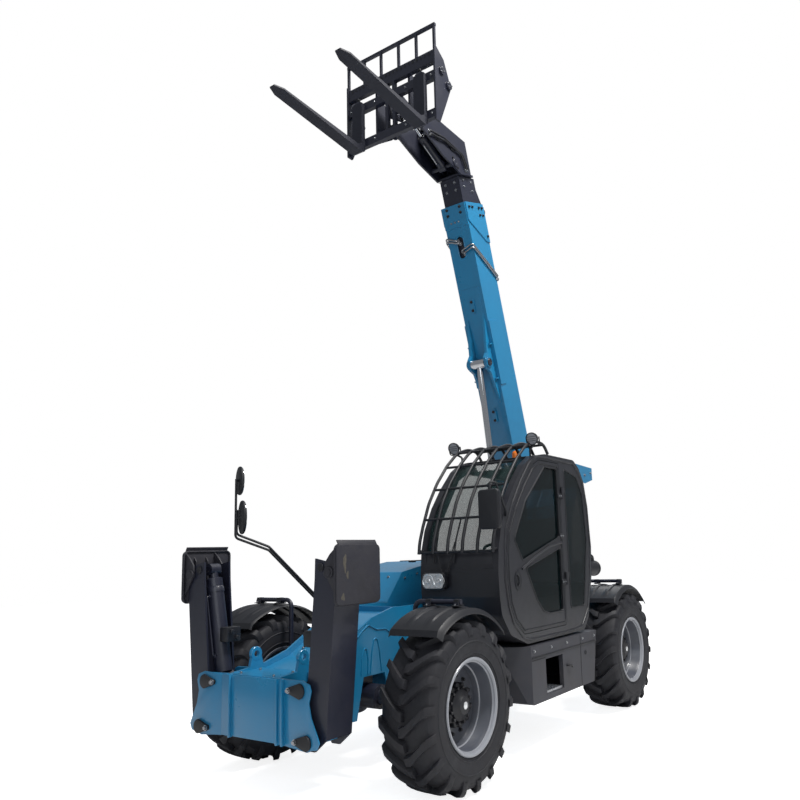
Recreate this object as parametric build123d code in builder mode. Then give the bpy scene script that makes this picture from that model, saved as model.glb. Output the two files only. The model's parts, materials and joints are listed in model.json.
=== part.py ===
from build123d import *
from math import cos, radians, sin
import os

os.makedirs("parts", exist_ok=True)

# Telescopic handler, in millimetres. +X is the machine's left, -Y its front, +Z up. The origin is on the
# ground, under the middle of the machine's box.

# Wheels and axles
FRONT_AXLE_Y = -1745.0
WHEELBASE = 3310.0
TRACK = 1970.0
TYRE_RADIUS = 617.0
TYRE_WIDTH = 440.0
RIM_RADIUS = 330.0
LUG_DEPTH = 42.0
LUG_COUNT = 18
LUG_WIDTH = 64.0
LUG_SWEEP = 150.0
TYRE_FACETS = 24
HUB_RADIUS = 150.0
KINGPIN_INSET = 190.0
RUNNING_GAP = 6.0

# Frame
NOSE_REACH = 1030.0
NOSE_PLATE = 25.0
NOSE_TOP = 910.0
NOSE_BOTTOM = 485.0
FRAME_WIDTH = 520.0
FRAME_PLATE = 20.0
REAR_REACH = 4330.0
TOWER_PLATE = 30.0
TOWER_COVER_WIDTH = 660.0

# Stabilizers
LEG_DEPTH = 250.0
LEG_PLATE = 16.0
LEG_PIN = (545.0, 520.0)
STRUT_PIN = (484.0, 844.0)
STRUT_EYE = (645.0, 1655.0)
PAD_PIN = (735.0, 1620.0)
PIN_RADIUS = 32.0
PAD_PIN_RADIUS = 24.0
PAD_LENGTH = 440.0
PAD_HEIGHT = 410.0

# Boom
PIVOT_BACK = 3300.0
PIVOT_HEIGHT = 1900.0
BOOM_ANGLE = 72.0
BOOM_WIDTH = 310.0
BOOM_BELLY = 277.0
BOOM_BACK = 130.0
BOOM_TAIL = 350.0
BOOM_LENGTH = 4000.0
BOOM_WALL = 16.0
SECTION_GAP = 14.0
MID_REACH = BOOM_LENGTH + 300.0
LIFT_BASE = (2720.0, 1050.0)
LIFT_EAR_X = 86.0
LIFT_EAR = 22.0
LIFT_PIN = 32.0
EYE_ALONG = 2190.0
EYE_OUT = 400.0
HEAD_HALF_WIDTH = 165.0
CARRIAGE_PIN = (MID_REACH + 470.0, 920.0)
CARRIAGE_PIN_RADIUS = 32.0
TILT_BASE = (MID_REACH + 120.0, 330.0)
TILT_PIN = 24.0
TILT_CRANK = (10.0, 150.0)
TILT_EAR_X = 56.0

# Cab and sides
CAB_INNER_X = 280.0
CAB_OUTER_X = 1080.0
CAB_WALL = 45.0
CAB_ROUNDING = 110.0
DOOR_ROUNDING = 45.0
PANE_ROUNDING = 36.0
GLASS = 8.0
HINGE_X = 1096.0
HINGE_BACK = 1917.0
HINGE_RADIUS = 13.0
HINGE_HEIGHTS = (1450.0, 2280.0)
SKIRT_X = 1120.0
SKIRT_BOTTOM = 420.0

WHEELS = (("fl", 1, 0.0), ("fr", -1, 0.0), ("rl", 1, WHEELBASE), ("rr", -1, WHEELBASE))
SIDES = (("left", 1), ("right", -1))

SIDE = Plane(origin=(0, FRONT_AXLE_Y, 0), x_dir=(0, 1, 0), z_dir=(1, 0, 0))
BOOM = Plane(
    origin=(0, FRONT_AXLE_Y + PIVOT_BACK, PIVOT_HEIGHT),
    x_dir=(0, -cos(radians(BOOM_ANGLE)), sin(radians(BOOM_ANGLE))),
    z_dir=(1, 0, 0),
)


def plate(plane, points, thickness, mode=Mode.ADD, both=False):
    """A plate: a straight-sided outline on a plane, thickened along the plane's normal."""
    with BuildSketch(plane) as outline:
        with BuildLine():
            Polyline(*points, close=True)
        make_face()
    extrude(outline.sketch, amount=thickness, both=both, mode=mode)


def block(x_range, y_range, z_range, mode=Mode.ADD):
    """A block between two values of x, of y and of z."""
    spans = [sorted(pair) for pair in (x_range, y_range, z_range)]
    middle = [(low + high) / 2 for low, high in spans]
    with Locations(tuple(middle)):
        Box(*[high - low for low, high in spans], mode=mode)


def rod(start, end, radius, mode=Mode.ADD):
    """A round bar between two points."""
    axis = Vector(*end) - Vector(*start)
    with BuildSketch(Plane(origin=start, z_dir=axis)) as disc:
        Circle(radius)
    extrude(disc.sketch, amount=axis.length, mode=mode)


def bent_tube(points, bend_radius, tube_radius):
    """A tube of straight runs joined by bends of one radius."""
    with BuildLine() as path:
        FilletPolyline(*points, radius=bend_radius)
    with BuildSketch(Plane(origin=path.line @ 0, z_dir=path.line % 0)) as disc:
        Circle(tube_radius)
    sweep(disc.sketch, path=path.line)


def rounded(points, radius, gap=0.01):
    """An outline with its corners rounded, moved in all round by a gap."""
    with BuildSketch() as smaller:
        with BuildLine():
            FilletPolyline(*points, radius=radius, close=True)
        make_face()
        offset(amount=-gap, mode=Mode.REPLACE)
    return smaller.sketch


def panel(plane, sketch, thickness, mode=Mode.ADD):
    """A flat panel: a sketch carried to a plane and thickened."""
    extrude(plane * sketch, amount=thickness, dir=plane.z_dir, mode=mode)


def back(distance):
    """The y of a place this far behind the front axle."""
    return FRONT_AXLE_Y + distance


def on_boom(along, out, x=0.0):
    """A point of the raised boom: along it from the pivot, out towards its belly, and across."""
    return tuple(BOOM.from_local_coords(Vector(along, out, x)))


def finish(builder, name):
    """Label a finished piece and write its file."""
    builder.part.label = name
    export_step(builder.part, f"parts/{name}.step")


# Tyres, rims, knuckles and fenders
wheel_x = TRACK / 2
kingpin_x = wheel_x - KINGPIN_INSET
tyre_inner_x = wheel_x - TYRE_WIDTH / 2
tyre_outer_x = wheel_x + TYRE_WIDTH / 2
tyre_bead = TYRE_WIDTH * 0.42
rim_depth = TYRE_WIDTH * 0.44
disc_x = 40.0
axle_z = TYRE_RADIUS
fender_radius = TYRE_RADIUS + 78.0
fender_thickness = 14.0
fender_inner_x = tyre_inner_x - 35.0
fender_outer_x = tyre_outer_x + 10.0
tube_radius = 19.0


def facet_ring(profile):
    """A ring about X with flat faces, from a loop of (x, radius) points."""
    step = 360 / TYRE_FACETS
    loops = []
    for index in range(TYRE_FACETS):
        turn = radians((index + 0.5) * step)
        reach = 1 / cos(radians(step / 2))
        loops.append([(x, -radius * reach * cos(turn), radius * reach * sin(turn)) for x, radius in profile])
    faces = []
    for first, second in zip(loops, loops[1:] + loops[:1]):
        for index in range(len(profile)):
            corners = (first[index - 1], first[index], second[index], second[index - 1])
            faces.append(Face(Wire.make_polygon(corners)))
    add(Solid(Shell(faces)))


# Lugs: bars that run from the tread's middle to its shoulders, meeting in a V that points down at the front.
# Their flat tops touch the tyre's radius at their ends, and a roof profile cuts their shoulders.
half_tyre = TYRE_WIDTH / 2
tread_radius = TYRE_RADIUS - LUG_DEPTH
lug_half = (LUG_SWEEP + LUG_WIDTH) / 2
lug_top = (TYRE_RADIUS ** 2 - lug_half ** 2) ** 0.5
LUG_ROOF = (
    (-20, tread_radius - 40), (-20, lug_top), (half_tyre - 55, lug_top), (half_tyre - 10, lug_top - 46),
    (half_tyre, tread_radius - 80), (half_tyre - 60, tread_radius - 100),
)
with BuildPart() as lugged_tyre:
    for side, phase in ((1, 0.0), (-1, 0.5)):
        with BuildPart(mode=Mode.PRIVATE) as lug:
            plate(
                Plane(origin=(0, -(tread_radius - 105), 0), x_dir=(1, 0, 0), z_dir=(0, -1, 0)),
                [(side * x, z) for x, z in (
                    (-12, -lug_half), (half_tyre + 5, lug_half - LUG_WIDTH), (half_tyre + 5, lug_half),
                    (-12, LUG_WIDTH + 12 - lug_half))],
                LUG_DEPTH + 105,
            )
            plate(Plane((0, 0, -LUG_SWEEP)), [(side * x, -radius) for x, radius in LUG_ROOF],
                2 * LUG_SWEEP, mode=Mode.INTERSECT)
        for step in range(LUG_COUNT):
            add(lug.part.rotate(Axis.X, (step + phase) * 360 / LUG_COUNT))
    shoulder = ((tyre_bead, RIM_RADIUS - 8.8), (half_tyre, RIM_RADIUS + 100), (half_tyre - 45, tread_radius))
    facet_ring(shoulder + tuple((-x, radius) for x, radius in reversed(shoulder)))

for name, side, behind in WHEELS:
    centre_y = back(behind)
    across = Plane(origin=(side * wheel_x, centre_y, axle_z), x_dir=(side, 0, 0), z_dir=(0, -side, 0))

    with BuildPart() as tyre:
        add(lugged_tyre.part.moved(Location((side * wheel_x, centre_y, axle_z))))
    finish(tyre, f"tyre_{name}")

    with BuildPart() as rim:
        with BuildSketch(across):
            with BuildLine():
                Polyline(
                    (rim_depth, RIM_RADIUS - 9), (rim_depth, RIM_RADIUS + 4),
                    (rim_depth + 14, RIM_RADIUS + 4), (rim_depth + 14, RIM_RADIUS - 22),
                    (90, RIM_RADIUS - 48), (disc_x + 12, RIM_RADIUS - 66), (disc_x, HUB_RADIUS),
                    (100, HUB_RADIUS - 4), (118, HUB_RADIUS - 34), (124, 0), (-58, 0),
                    (-58, HUB_RADIUS + 20), (disc_x - 18, HUB_RADIUS + 20), (disc_x - 8, RIM_RADIUS - 66),
                    (-rim_depth - 14, RIM_RADIUS - 40), (-rim_depth - 14, RIM_RADIUS + 4),
                    (-rim_depth, RIM_RADIUS + 4), (-rim_depth, RIM_RADIUS - 9), close=True,
                )
            make_face()
        revolve(axis=Axis((side * wheel_x, centre_y, axle_z), (1, 0, 0)))
    finish(rim, f"rim_{name}")

    # The knuckle: a kingpin body inside the rim, and the bent tube that carries the fender
    stub_end = wheel_x - 58.0 - 0.5
    tube_x = fender_inner_x - 45.0
    with BuildPart() as knuckle:
        with BuildSketch(Plane((0, 0, axle_z - 210)).offset(0)):
            with Locations((side * kingpin_x, centre_y)):
                Circle(62)
        extrude(amount=420)
        rod((side * kingpin_x, centre_y, axle_z), (side * stub_end, centre_y, axle_z), HUB_RADIUS - 10)
        block(
            (side * (kingpin_x - 90), side * (kingpin_x + 30)), (centre_y - 60, centre_y + 60),
            (axle_z - 205, axle_z - 125),
        )
        bent_tube(
            (
                (side * (kingpin_x - 30), centre_y, axle_z + 150),
                (side * tube_x, centre_y, axle_z + 230),
                (side * tube_x, centre_y, axle_z + fender_radius + 48),
                (side * (tyre_outer_x - 90), centre_y, axle_z + fender_radius + 48),
            ), 60, tube_radius,
        )
        for saddle_x in (tyre_inner_x + 60, tyre_outer_x - 120):
            block(
                (side * (saddle_x - 22), side * (saddle_x + 22)), (centre_y - 30, centre_y + 30),
                (axle_z + fender_radius + fender_thickness, axle_z + fender_radius + 48),
            )
        # the swivel bearing that turns about the beam's end, open inwards for the beam
        with BuildSketch(Plane((0, 0, axle_z - 90))):
            with Locations((side * kingpin_x, centre_y)):
                Circle(75)
        extrude(amount=180, mode=Mode.SUBTRACT)
        block(
            (side * (kingpin_x - 200), side * kingpin_x), (centre_y - 75, centre_y + 75),
            (axle_z - 90, axle_z + 90), mode=Mode.SUBTRACT,
        )
        # thrust washers above and below the beam's end
        for low, high in ((-91, -84.15), (84.15, 91)):
            rod((side * kingpin_x, centre_y, axle_z + low), (side * kingpin_x, centre_y, axle_z + high), 45)
    finish(knuckle, f"knuckle_{name}")

    with BuildPart() as fender:
        with BuildSketch(Plane(origin=(0, centre_y, axle_z), x_dir=(0, 1, 0), z_dir=(1, 0, 0)).offset(
                side * (fender_inner_x + fender_outer_x) / 2)):
            with BuildLine():
                outer = CenterArc((0, 0), fender_radius + fender_thickness, 42, 92)
                inner = CenterArc((0, 0), fender_radius, 42, 92)
                Line(outer @ 0, inner @ 0)
                Line(outer @ 1, inner @ 1)
            make_face()
        extrude(amount=(fender_outer_x - fender_inner_x) / 2, both=True)
    finish(fender, f"fender_{name}")

# Axle beams: one casting each, its ends carrying the kingpins
SADDLE_Z = axle_z + 175.0
beam_end = kingpin_x - 8.0
for name, behind in (("front_axle", 0.0), ("rear_axle", WHEELBASE)):
    centre_y = back(behind)
    with BuildPart() as axle:
        rod((-beam_end, centre_y, axle_z), (beam_end, centre_y, axle_z), 62)
        with BuildSketch(Plane.XY.offset(axle_z - 84)):
            with Locations((-kingpin_x, centre_y), (kingpin_x, centre_y)):
                Circle(68)
        extrude(amount=168)
        with BuildSketch(Plane.YZ.offset(-330)):
            with Locations((centre_y, axle_z)):
                Circle(95)
        extrude(amount=660)
        with Locations((0, centre_y, axle_z)):
            Cylinder(165, 150, rotation=(90, 0, 0))
        block((-190, 190), (centre_y - 60, centre_y + 60), (axle_z + 60, SADDLE_Z))
    finish(axle, name)

# Main frame
nose_front = back(-NOSE_REACH)
nose_rear_plate = nose_front + NOSE_PLATE + LEG_DEPTH + 10.0
half_frame = FRAME_WIDTH / 2
PIN_PLATE = (
    (half_frame, NOSE_BOTTOM), (LEG_PIN[0], LEG_PIN[1] - 62), (LEG_PIN[0] + 50, LEG_PIN[1] - 40),
    (LEG_PIN[0] + 62, LEG_PIN[1]), (LEG_PIN[0] + 30, LEG_PIN[1] + 70), (LEG_PIN[0] - 15, LEG_PIN[1] + 140),
    (STRUT_PIN[0] + 22, STRUT_PIN[1] - 90), (STRUT_PIN[0] + 60, STRUT_PIN[1] - 20),
    (STRUT_PIN[0] + 58, STRUT_PIN[1] + 30), (STRUT_PIN[0] + 20, STRUT_PIN[1] + 60), (half_frame, NOSE_TOP),
)
FRAME_SIDE = (
    (-NOSE_REACH + NOSE_PLATE, NOSE_BOTTOM), (-300, 470), (700, 430), (2700, 430), (3050, 520),
    (REAR_REACH, 560), (REAR_REACH, 1050), (3700, 1100), (2300, 1060), (1500, 1200), (700, 1290),
    (250, 1290), (-20, 1230), (-230, 1130), (-460, 1010), (-700, 940), (-NOSE_REACH + NOSE_PLATE, NOSE_TOP),
)
with BuildPart() as frame:
    for side in (1, -1):
        for plate_y in (nose_front, nose_rear_plate):
            with BuildSketch(Plane(origin=(0, plate_y, 0), x_dir=(1, 0, 0), z_dir=(0, -1, 0))):
                with BuildLine():
                    Polyline(*[(side * x, z) for x, z in PIN_PLATE], close=True)
                make_face()
            extrude(amount=-NOSE_PLATE)
        plate(SIDE.offset(side * half_frame - (FRAME_PLATE if side > 0 else 0)), FRAME_SIDE, FRAME_PLATE)
    block((-half_frame, half_frame), (nose_front, nose_rear_plate + NOSE_PLATE), (NOSE_BOTTOM, NOSE_TOP))
    # belly and deck plates between the side plates, open over the axles
    inner = half_frame - FRAME_PLATE
    block((-inner, inner), (nose_rear_plate, back(-480)), (NOSE_BOTTOM, NOSE_BOTTOM + 20))
    block((-inner, inner), (back(900), back(2600)), (430, 450))
    block((-inner, inner), (back(REAR_REACH - 20), back(REAR_REACH)), (560, 1050))
    block((-inner, inner), (back(380), back(400)), (620, 1285))
    block((-inner, inner), (back(3780), back(3800)), (560, 1040))
    # arches over the axles, and the saddles that rest on them
    for behind in (0.0, WHEELBASE):
        plate(
            SIDE.offset(-half_frame - 1),
            ((behind - 230, 400), (behind + 230, 400), (behind + 130, SADDLE_Z - 10),
                (behind - 130, SADDLE_Z - 10)),
            FRAME_WIDTH + 2, mode=Mode.SUBTRACT,
        )
        for low, high in ((-70, -48), (48, 70)):
            block((-inner, inner), (back(behind + low), back(behind + high)), (SADDLE_Z, SADDLE_Z + 160))
        block((-inner, inner), (back(behind - 70), back(behind + 70)), (SADDLE_Z, SADDLE_Z + 22))
        block((-inner, inner), (back(behind - 100), back(behind + 100)), (SADDLE_Z + 140, SADDLE_Z + 160))
    # ears and pin for the foot of the lift cylinder
    block((-inner, inner), (back(2810), back(2830)), (450, 1040))
    for side in (1, -1):
        plate(
            SIDE.offset(side * LIFT_EAR_X - (LIFT_EAR if side < 0 else 0)),
            ((2815, 850), (2690, 1000), (2690, 1100), (2750, 1110), (2815, 1040)), LIFT_EAR,
        )
    rod((-LIFT_EAR_X - LIFT_EAR, back(LIFT_BASE[0]), LIFT_BASE[1]),
        (LIFT_EAR_X + LIFT_EAR, back(LIFT_BASE[0]), LIFT_BASE[1]), LIFT_PIN)
    # the deck between the side plates, and the ribs on the nose's front plate
    DECK = ((-760, 893), (-690, 905), (-460, 960), (-230, 1075), (-20, 1170), (250, 1235), (400, 1240))
    plate(SIDE.offset(-inner), DECK + tuple((y, z - 8) for y, z in reversed(DECK)), 2 * inner)
    for low, high in ((-264, -246), (246, 264), (282, 300)):
        block((low, high), (nose_front - 14, nose_front), (NOSE_BOTTOM, NOSE_TOP))
    # brackets under the cab's floor
    for start in (1200, 2100):
        block((half_frame - 1, half_frame + 160), (back(start), back(start + 100)), (905.3, 924.7))
    # lifting lugs
    for side in (1, -1):
        with BuildSketch(SIDE.offset(side * half_frame - (NOSE_PLATE if side > 0 else 0))):
            with BuildLine():
                Polyline(
                    (-NOSE_REACH + 160, NOSE_TOP - 30), (-NOSE_REACH + 190, NOSE_TOP + 20),
                    (-NOSE_REACH + 220, NOSE_TOP + 150), (-NOSE_REACH + 280, NOSE_TOP + 150),
                    (-NOSE_REACH + 320, NOSE_TOP + 20), (-NOSE_REACH + 400, NOSE_TOP - 30), close=True,
                )
            make_face()
            with Locations((-NOSE_REACH + 250, NOSE_TOP + 110)):
                Circle(25, mode=Mode.SUBTRACT)
        extrude(amount=NOSE_PLATE)
    # pins of the stabilizer legs and their cylinders, with keeper caps
    for side in (1, -1):
        for x, z in (LEG_PIN, STRUT_PIN):
            rod((side * x, nose_front - 12, z),
                (side * x, nose_rear_plate + NOSE_PLATE + 12, z), PIN_RADIUS)
finish(frame, "main_frame")

# Boom tower: two plates that carry the boom's pivot, and their overhanging top
half_tower = half_frame - FRAME_PLATE
TOWER_SIDE = (
    (2880, 1000), (2950, 1500), (3080, 2250), (3560, 2840), (4520, 2800), (4520, 2660), (4250, 2520),
    (4000, 2100), (3900, 1050),
)
with BuildPart() as tower:
    for side in (1, -1):
        plate(SIDE.offset(side * half_tower - (TOWER_PLATE if side > 0 else 0)), TOWER_SIDE, TOWER_PLATE)
        with Locations((side * (half_tower + 12), back(PIVOT_BACK), PIVOT_HEIGHT)):
            Cylinder(95, 24, rotation=(0, 90, 0))
        boss_start = BOOM_WIDTH / 2 + RUNNING_GAP
        rod(
            (side * boss_start, back(PIVOT_BACK), PIVOT_HEIGHT),
            (side * (half_tower - TOWER_PLATE), back(PIVOT_BACK), PIVOT_HEIGHT), 90,
        )
    inner = half_tower - TOWER_PLATE
    cover = TOWER_COVER_WIDTH / 2
    plate(SIDE.offset(-cover), ((3500, 2830), (4540, 2790), (4540, 2810), (3500, 2850)), 2 * cover)
    plate(SIDE.offset(-cover), ((4520, 2650), (4540, 2650), (4540, 2800), (4520, 2800)), 2 * cover)
    for x in (-cover, cover - 12):
        plate(SIDE.offset(x), ((3500, 2740), (4300, 2590), (4540, 2650), (4540, 2800), (3500, 2840)), 12)
    plate(SIDE.offset(-inner), ((3880, 1100), (3900, 1100), (4000, 2100), (3980, 2100)), 2 * inner)
    rod((-inner, back(PIVOT_BACK), PIVOT_HEIGHT), (inner, back(PIVOT_BACK), PIVOT_HEIGHT), 45)
finish(tower, "boom_tower")

with BuildPart() as ballast:
    COUNTERWEIGHT = (
        (REAR_REACH + 0.5, 520), (REAR_REACH + 180, 620), (REAR_REACH + 190, 1120),
            (REAR_REACH + 100, 1230),
        (REAR_REACH + 0.5, 1230),
    )
    plate(SIDE.offset(-520), COUNTERWEIGHT, 1040)
    for side in (1, -1):
        plate(
            Plane.XY.offset(400),
            ((side * 521, back(REAR_REACH + 80)), (side * 521, back(REAR_REACH + 200)),
             (side * 400, back(REAR_REACH + 200))), 900, mode=Mode.SUBTRACT,
        )
finish(ballast, "counterweight")

# Power pack hood on the right, with the heavy battery block in it
HOOD_SIDE = (
    (820, 560), (820, 1290), (1060, 1560), (1650, 1655), (2420, 1655), (2520, 1560), (2520, 560),
)
hood_inner_x = -(half_frame + 0.3)
hood_outer_x = -1080.0
HOOD_WALL = 18.0
HOOD_BEVEL = 150.0


def hood_form(inset):
    """The hood's outer form, or the space inside it, with its upper outer edge bevelled."""
    with BuildPart(mode=Mode.PRIVATE) as form:
        panel(
            SIDE.offset(hood_outer_x + inset), rounded(HOOD_SIDE, 40, inset),
            hood_inner_x - hood_outer_x - 2 * inset,
        )
        edge_x = hood_outer_x + inset
        edge_z = 1655 - inset
        plate(
            Plane(origin=(0, back(700), 0), x_dir=(1, 0, 0), z_dir=(0, -1, 0)),
            ((edge_x - 1, edge_z - HOOD_BEVEL), (edge_x + HOOD_BEVEL, edge_z + 1),
                (edge_x - 1, edge_z + 1)),
            -1900, mode=Mode.SUBTRACT,
        )
    return form.part


with BuildPart() as hood:
    add(hood_form(0.01))
    add(hood_form(HOOD_WALL), mode=Mode.SUBTRACT)
finish(hood, "power_pack_hood")

with BuildPart() as battery:
    block((hood_outer_x + 60, hood_inner_x - 60), (back(900), back(2440)), (578.3, 1200))
finish(battery, "battery_block")

# Skirt under the cab, with its step recess
with BuildPart() as skirt:
    SKIRT_SIDE = (
        (955, 905), (955, 780), (1040, SKIRT_BOTTOM + 20), (1080, SKIRT_BOTTOM), (2380, SKIRT_BOTTOM),
            (2490, 905),
    )
    skirt_inner_x = half_frame + 0.3
    plate(SIDE.offset(skirt_inner_x), SKIRT_SIDE, SKIRT_X - skirt_inner_x)
    block(
        (skirt_inner_x - 1, SKIRT_X - 40), (back(1100), back(2380)), (SKIRT_BOTTOM + 30, 880),
        mode=Mode.SUBTRACT,
    )
    block((SKIRT_X - 220, SKIRT_X + 1), (back(1330), back(1680)), (470, 770), mode=Mode.SUBTRACT)
    # the front corner, cut back towards the wheel
    plate(
        Plane.XY.offset(400), ((890, back(940)), (SKIRT_X + 1, back(940)), (SKIRT_X + 1, back(1065))), 600,
        mode=Mode.SUBTRACT,
    )
finish(skirt, "side_skirt")

# Cab
cab_outline = (
    (1090, 925), (800, 1030), (665, 1200), (640, 1350), (632, 1560), (650, 1750), (705, 1930),
    (820, 2130), (975, 2320), (1160, 2500), (1340, 2600), (1600, 2640), (2260, 2640), (2385, 2565),
    (2490, 2430), (2560, 2165), (2590, 1743), (2520, 1450), (2430, 1050), (2300, 925),
)
DOOR = (
    (1040, 1010), (880, 1140), (805, 1290), (775, 1500), (775, 1700), (815, 1900), (960, 2130),
    (1130, 2330), (1320, 2510), (1470, 2575), (1905, 2575), (1905, 1010),
)
DOOR_UPPER = ((1580, 2515), (1845, 2515), (1845, 1850), (1065, 1640), (925, 1830), (1160, 2170))
DOOR_LOWER = ((1845, 1750), (1115, 1575), (1300, 1290), (1420, 1180), (1545, 1150), (1845, 1150))
QUARTER = ((2010, 2530), (2300, 2470), (2430, 2300), (2480, 1810), (2330, 1160), (2010, 1160))
SCREEN = (
    (640, 1598), (665, 1750), (720, 1930), (835, 2125), (990, 2310), (1170, 2485), (1345, 2580),
)
door_gap = 6.0


with BuildPart() as cab:
    panel(SIDE.offset(CAB_INNER_X), rounded(cab_outline, CAB_ROUNDING), CAB_OUTER_X - CAB_INNER_X)
    panel(
        SIDE.offset(CAB_INNER_X + CAB_WALL), rounded(cab_outline, CAB_ROUNDING, CAB_WALL),
        CAB_OUTER_X - CAB_INNER_X - 2 * CAB_WALL, mode=Mode.SUBTRACT,
    )
    panel(SIDE.offset(CAB_OUTER_X - CAB_WALL - 1), rounded(DOOR, DOOR_ROUNDING), CAB_WALL + 2,
        mode=Mode.SUBTRACT)
    panel(SIDE.offset(CAB_OUTER_X - CAB_WALL - 1), rounded(QUARTER, PANE_ROUNDING), CAB_WALL + 2,
        mode=Mode.SUBTRACT)
    # right-hand window, windscreen with roof glass, and rear window
    RIGHT_WINDOW = ((800, 1620), (880, 1950), (1240, 2420), (1400, 2500), (2300, 2480), (2440, 2100),
        (2440, 1300),
                    (1900, 1300))
    panel(SIDE.offset(CAB_INNER_X - 1), rounded(RIGHT_WINDOW, PANE_ROUNDING), CAB_WALL + 2,
        mode=Mode.SUBTRACT)
    plate(
        SIDE.offset(CAB_INNER_X + 60),
        ((560, 1590), (760, 1590), (1000, 2200), (1380, 2540), (1340, 2700), (560, 2700)),
        CAB_OUTER_X - CAB_INNER_X - 120, mode=Mode.SUBTRACT,
    )
    block(
        (CAB_INNER_X + 90, CAB_OUTER_X - 90), (back(1480), back(2150)), (2560, 2700), mode=Mode.SUBTRACT,
    )
    block(
        (CAB_INNER_X + 80, CAB_OUTER_X - 80), (back(2400), back(2700)), (1500, 2380), mode=Mode.SUBTRACT,
    )
    for z in HINGE_HEIGHTS:
        rod((HINGE_X, back(HINGE_BACK), z + 0.15), (HINGE_X, back(HINGE_BACK), z + 60), HINGE_RADIUS)
        block((CAB_OUTER_X - 1, HINGE_X), (back(HINGE_BACK), back(HINGE_BACK + 60)), (z + 6, z + 54))
finish(cab, "cab_shell")

with BuildPart() as cab_glass:
    glass_gap = 0.3
    panel(SIDE.offset(CAB_OUTER_X - 30), rounded(QUARTER, PANE_ROUNDING, glass_gap), GLASS)
    panel(SIDE.offset(CAB_INNER_X + 20), rounded(RIGHT_WINDOW, PANE_ROUNDING, glass_gap), GLASS)
    # windscreen: a curved sheet
    screen_inner = [(y + 14, z - 5) for y, z in reversed(SCREEN)]
    plate(
        SIDE.offset(CAB_INNER_X + 60 + glass_gap), tuple(SCREEN) + tuple(screen_inner),
        CAB_OUTER_X - CAB_INNER_X - 120 - 2 * glass_gap,
    )
    block(
        (CAB_INNER_X + 90 + glass_gap, CAB_OUTER_X - 90 - glass_gap),
        (back(1480 + glass_gap), back(2150 - glass_gap)), (2610, 2618),
    )
    block(
        (CAB_INNER_X + 80 + glass_gap, CAB_OUTER_X - 80 - glass_gap), (back(2530), back(2538)),
            (1500.3, 2200),
    )
finish(cab_glass, "cab_glass")

with BuildPart() as door:
    panel(SIDE.offset(CAB_OUTER_X - CAB_WALL), rounded(DOOR, DOOR_ROUNDING, door_gap), CAB_WALL)
    panel(SIDE.offset(CAB_OUTER_X - CAB_WALL - 1), rounded(DOOR_UPPER, PANE_ROUNDING), CAB_WALL + 2,
        mode=Mode.SUBTRACT)
    panel(SIDE.offset(CAB_OUTER_X - CAB_WALL - 1), rounded(DOOR_LOWER, PANE_ROUNDING), CAB_WALL + 2,
        mode=Mode.SUBTRACT)
    for z in HINGE_HEIGHTS:
        rod((HINGE_X, back(HINGE_BACK), z - 60), (HINGE_X, back(HINGE_BACK), z - 0.15), HINGE_RADIUS)
        block((CAB_OUTER_X, HINGE_X), (back(HINGE_BACK - 60), back(HINGE_BACK - 24)), (z - 54, z - 6))
        block((CAB_OUTER_X + 5, HINGE_X), (back(HINGE_BACK - 30), back(HINGE_BACK)), (z - 54, z - 6))
finish(door, "door")

with BuildPart() as door_glass:
    panel(SIDE.offset(CAB_OUTER_X - 26), rounded(DOOR_UPPER, PANE_ROUNDING, glass_gap), GLASS)
    panel(SIDE.offset(CAB_OUTER_X - 26), rounded(DOOR_LOWER, PANE_ROUNDING, glass_gap), GLASS)
finish(door_glass, "door_glass")

# Bar guard over the windscreen and roof
GUARD = ((580, 1575), (600, 1780), (660, 1970), (780, 2180), (930, 2370), (1110, 2550), (1290, 2680),
    (1480, 2735),
         (1720, 2700))
BAR_XS = [CAB_INNER_X + 20 + i * (CAB_OUTER_X - CAB_INNER_X - 40) / 5 for i in range(6)]
bar_radius = 11.0
with BuildPart() as guard:
    for bar_x in BAR_XS:
        outer_line = GUARD
        inner_line = [(y + 2 * bar_radius, z - bar_radius) for y, z in reversed(GUARD)]
        plate(SIDE.offset(bar_x - bar_radius), tuple(outer_line) + tuple(inner_line), 2 * bar_radius)
    for y, z in (GUARD[0], GUARD[1], GUARD[3], GUARD[4], GUARD[5], GUARD[8]):
        rod(
            (BAR_XS[0], back(y + bar_radius), z - 4), (BAR_XS[-1], back(y + bar_radius), z - 4), 8,
        )
    # its feet on the cab's front and roof
    for x in (BAR_XS[0], BAR_XS[-1]):
        rod((x, back(590), 1600), (x, back(633), 1600), 9)
        rod((x, back(1700), 2700), (x, back(1700), 2640.2), 9)
finish(guard, "roof_guard")

with BuildPart() as seat:
    seat_x = (CAB_INNER_X + CAB_OUTER_X) / 2
    block((seat_x - 200, seat_x + 200), (back(1750), back(2200)), (970, 1250))
    block((seat_x - 250, seat_x + 250), (back(1680), back(2200)), (1250, 1370))
    plate(SIDE.offset(seat_x - 240), ((2130, 1370), (2240, 1370), (2330, 2050), (2240, 2060)), 480)
finish(seat, "seat")

with BuildPart() as console:
    plate(
        SIDE.offset(seat_x - 130),
        ((1120, 970), (1330, 970), (1290, 1300), (1370, 1620), (1310, 1660), (1120, 1560),
            (1060, 1300)), 260,
    )
    with Locations(Plane(origin=(seat_x, back(1420), 1700), z_dir=(0, 0.5, 0.86))):
        Cylinder(206, 26)
        Cylinder(176, 28, mode=Mode.SUBTRACT)
        with PolarLocations(90, 3):
            Box(190, 30, 14)
        Cylinder(40, 30)
    rod((seat_x, back(1320), 1600), (seat_x, back(1420), 1700), 30)
finish(console, "steering_console")

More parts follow.
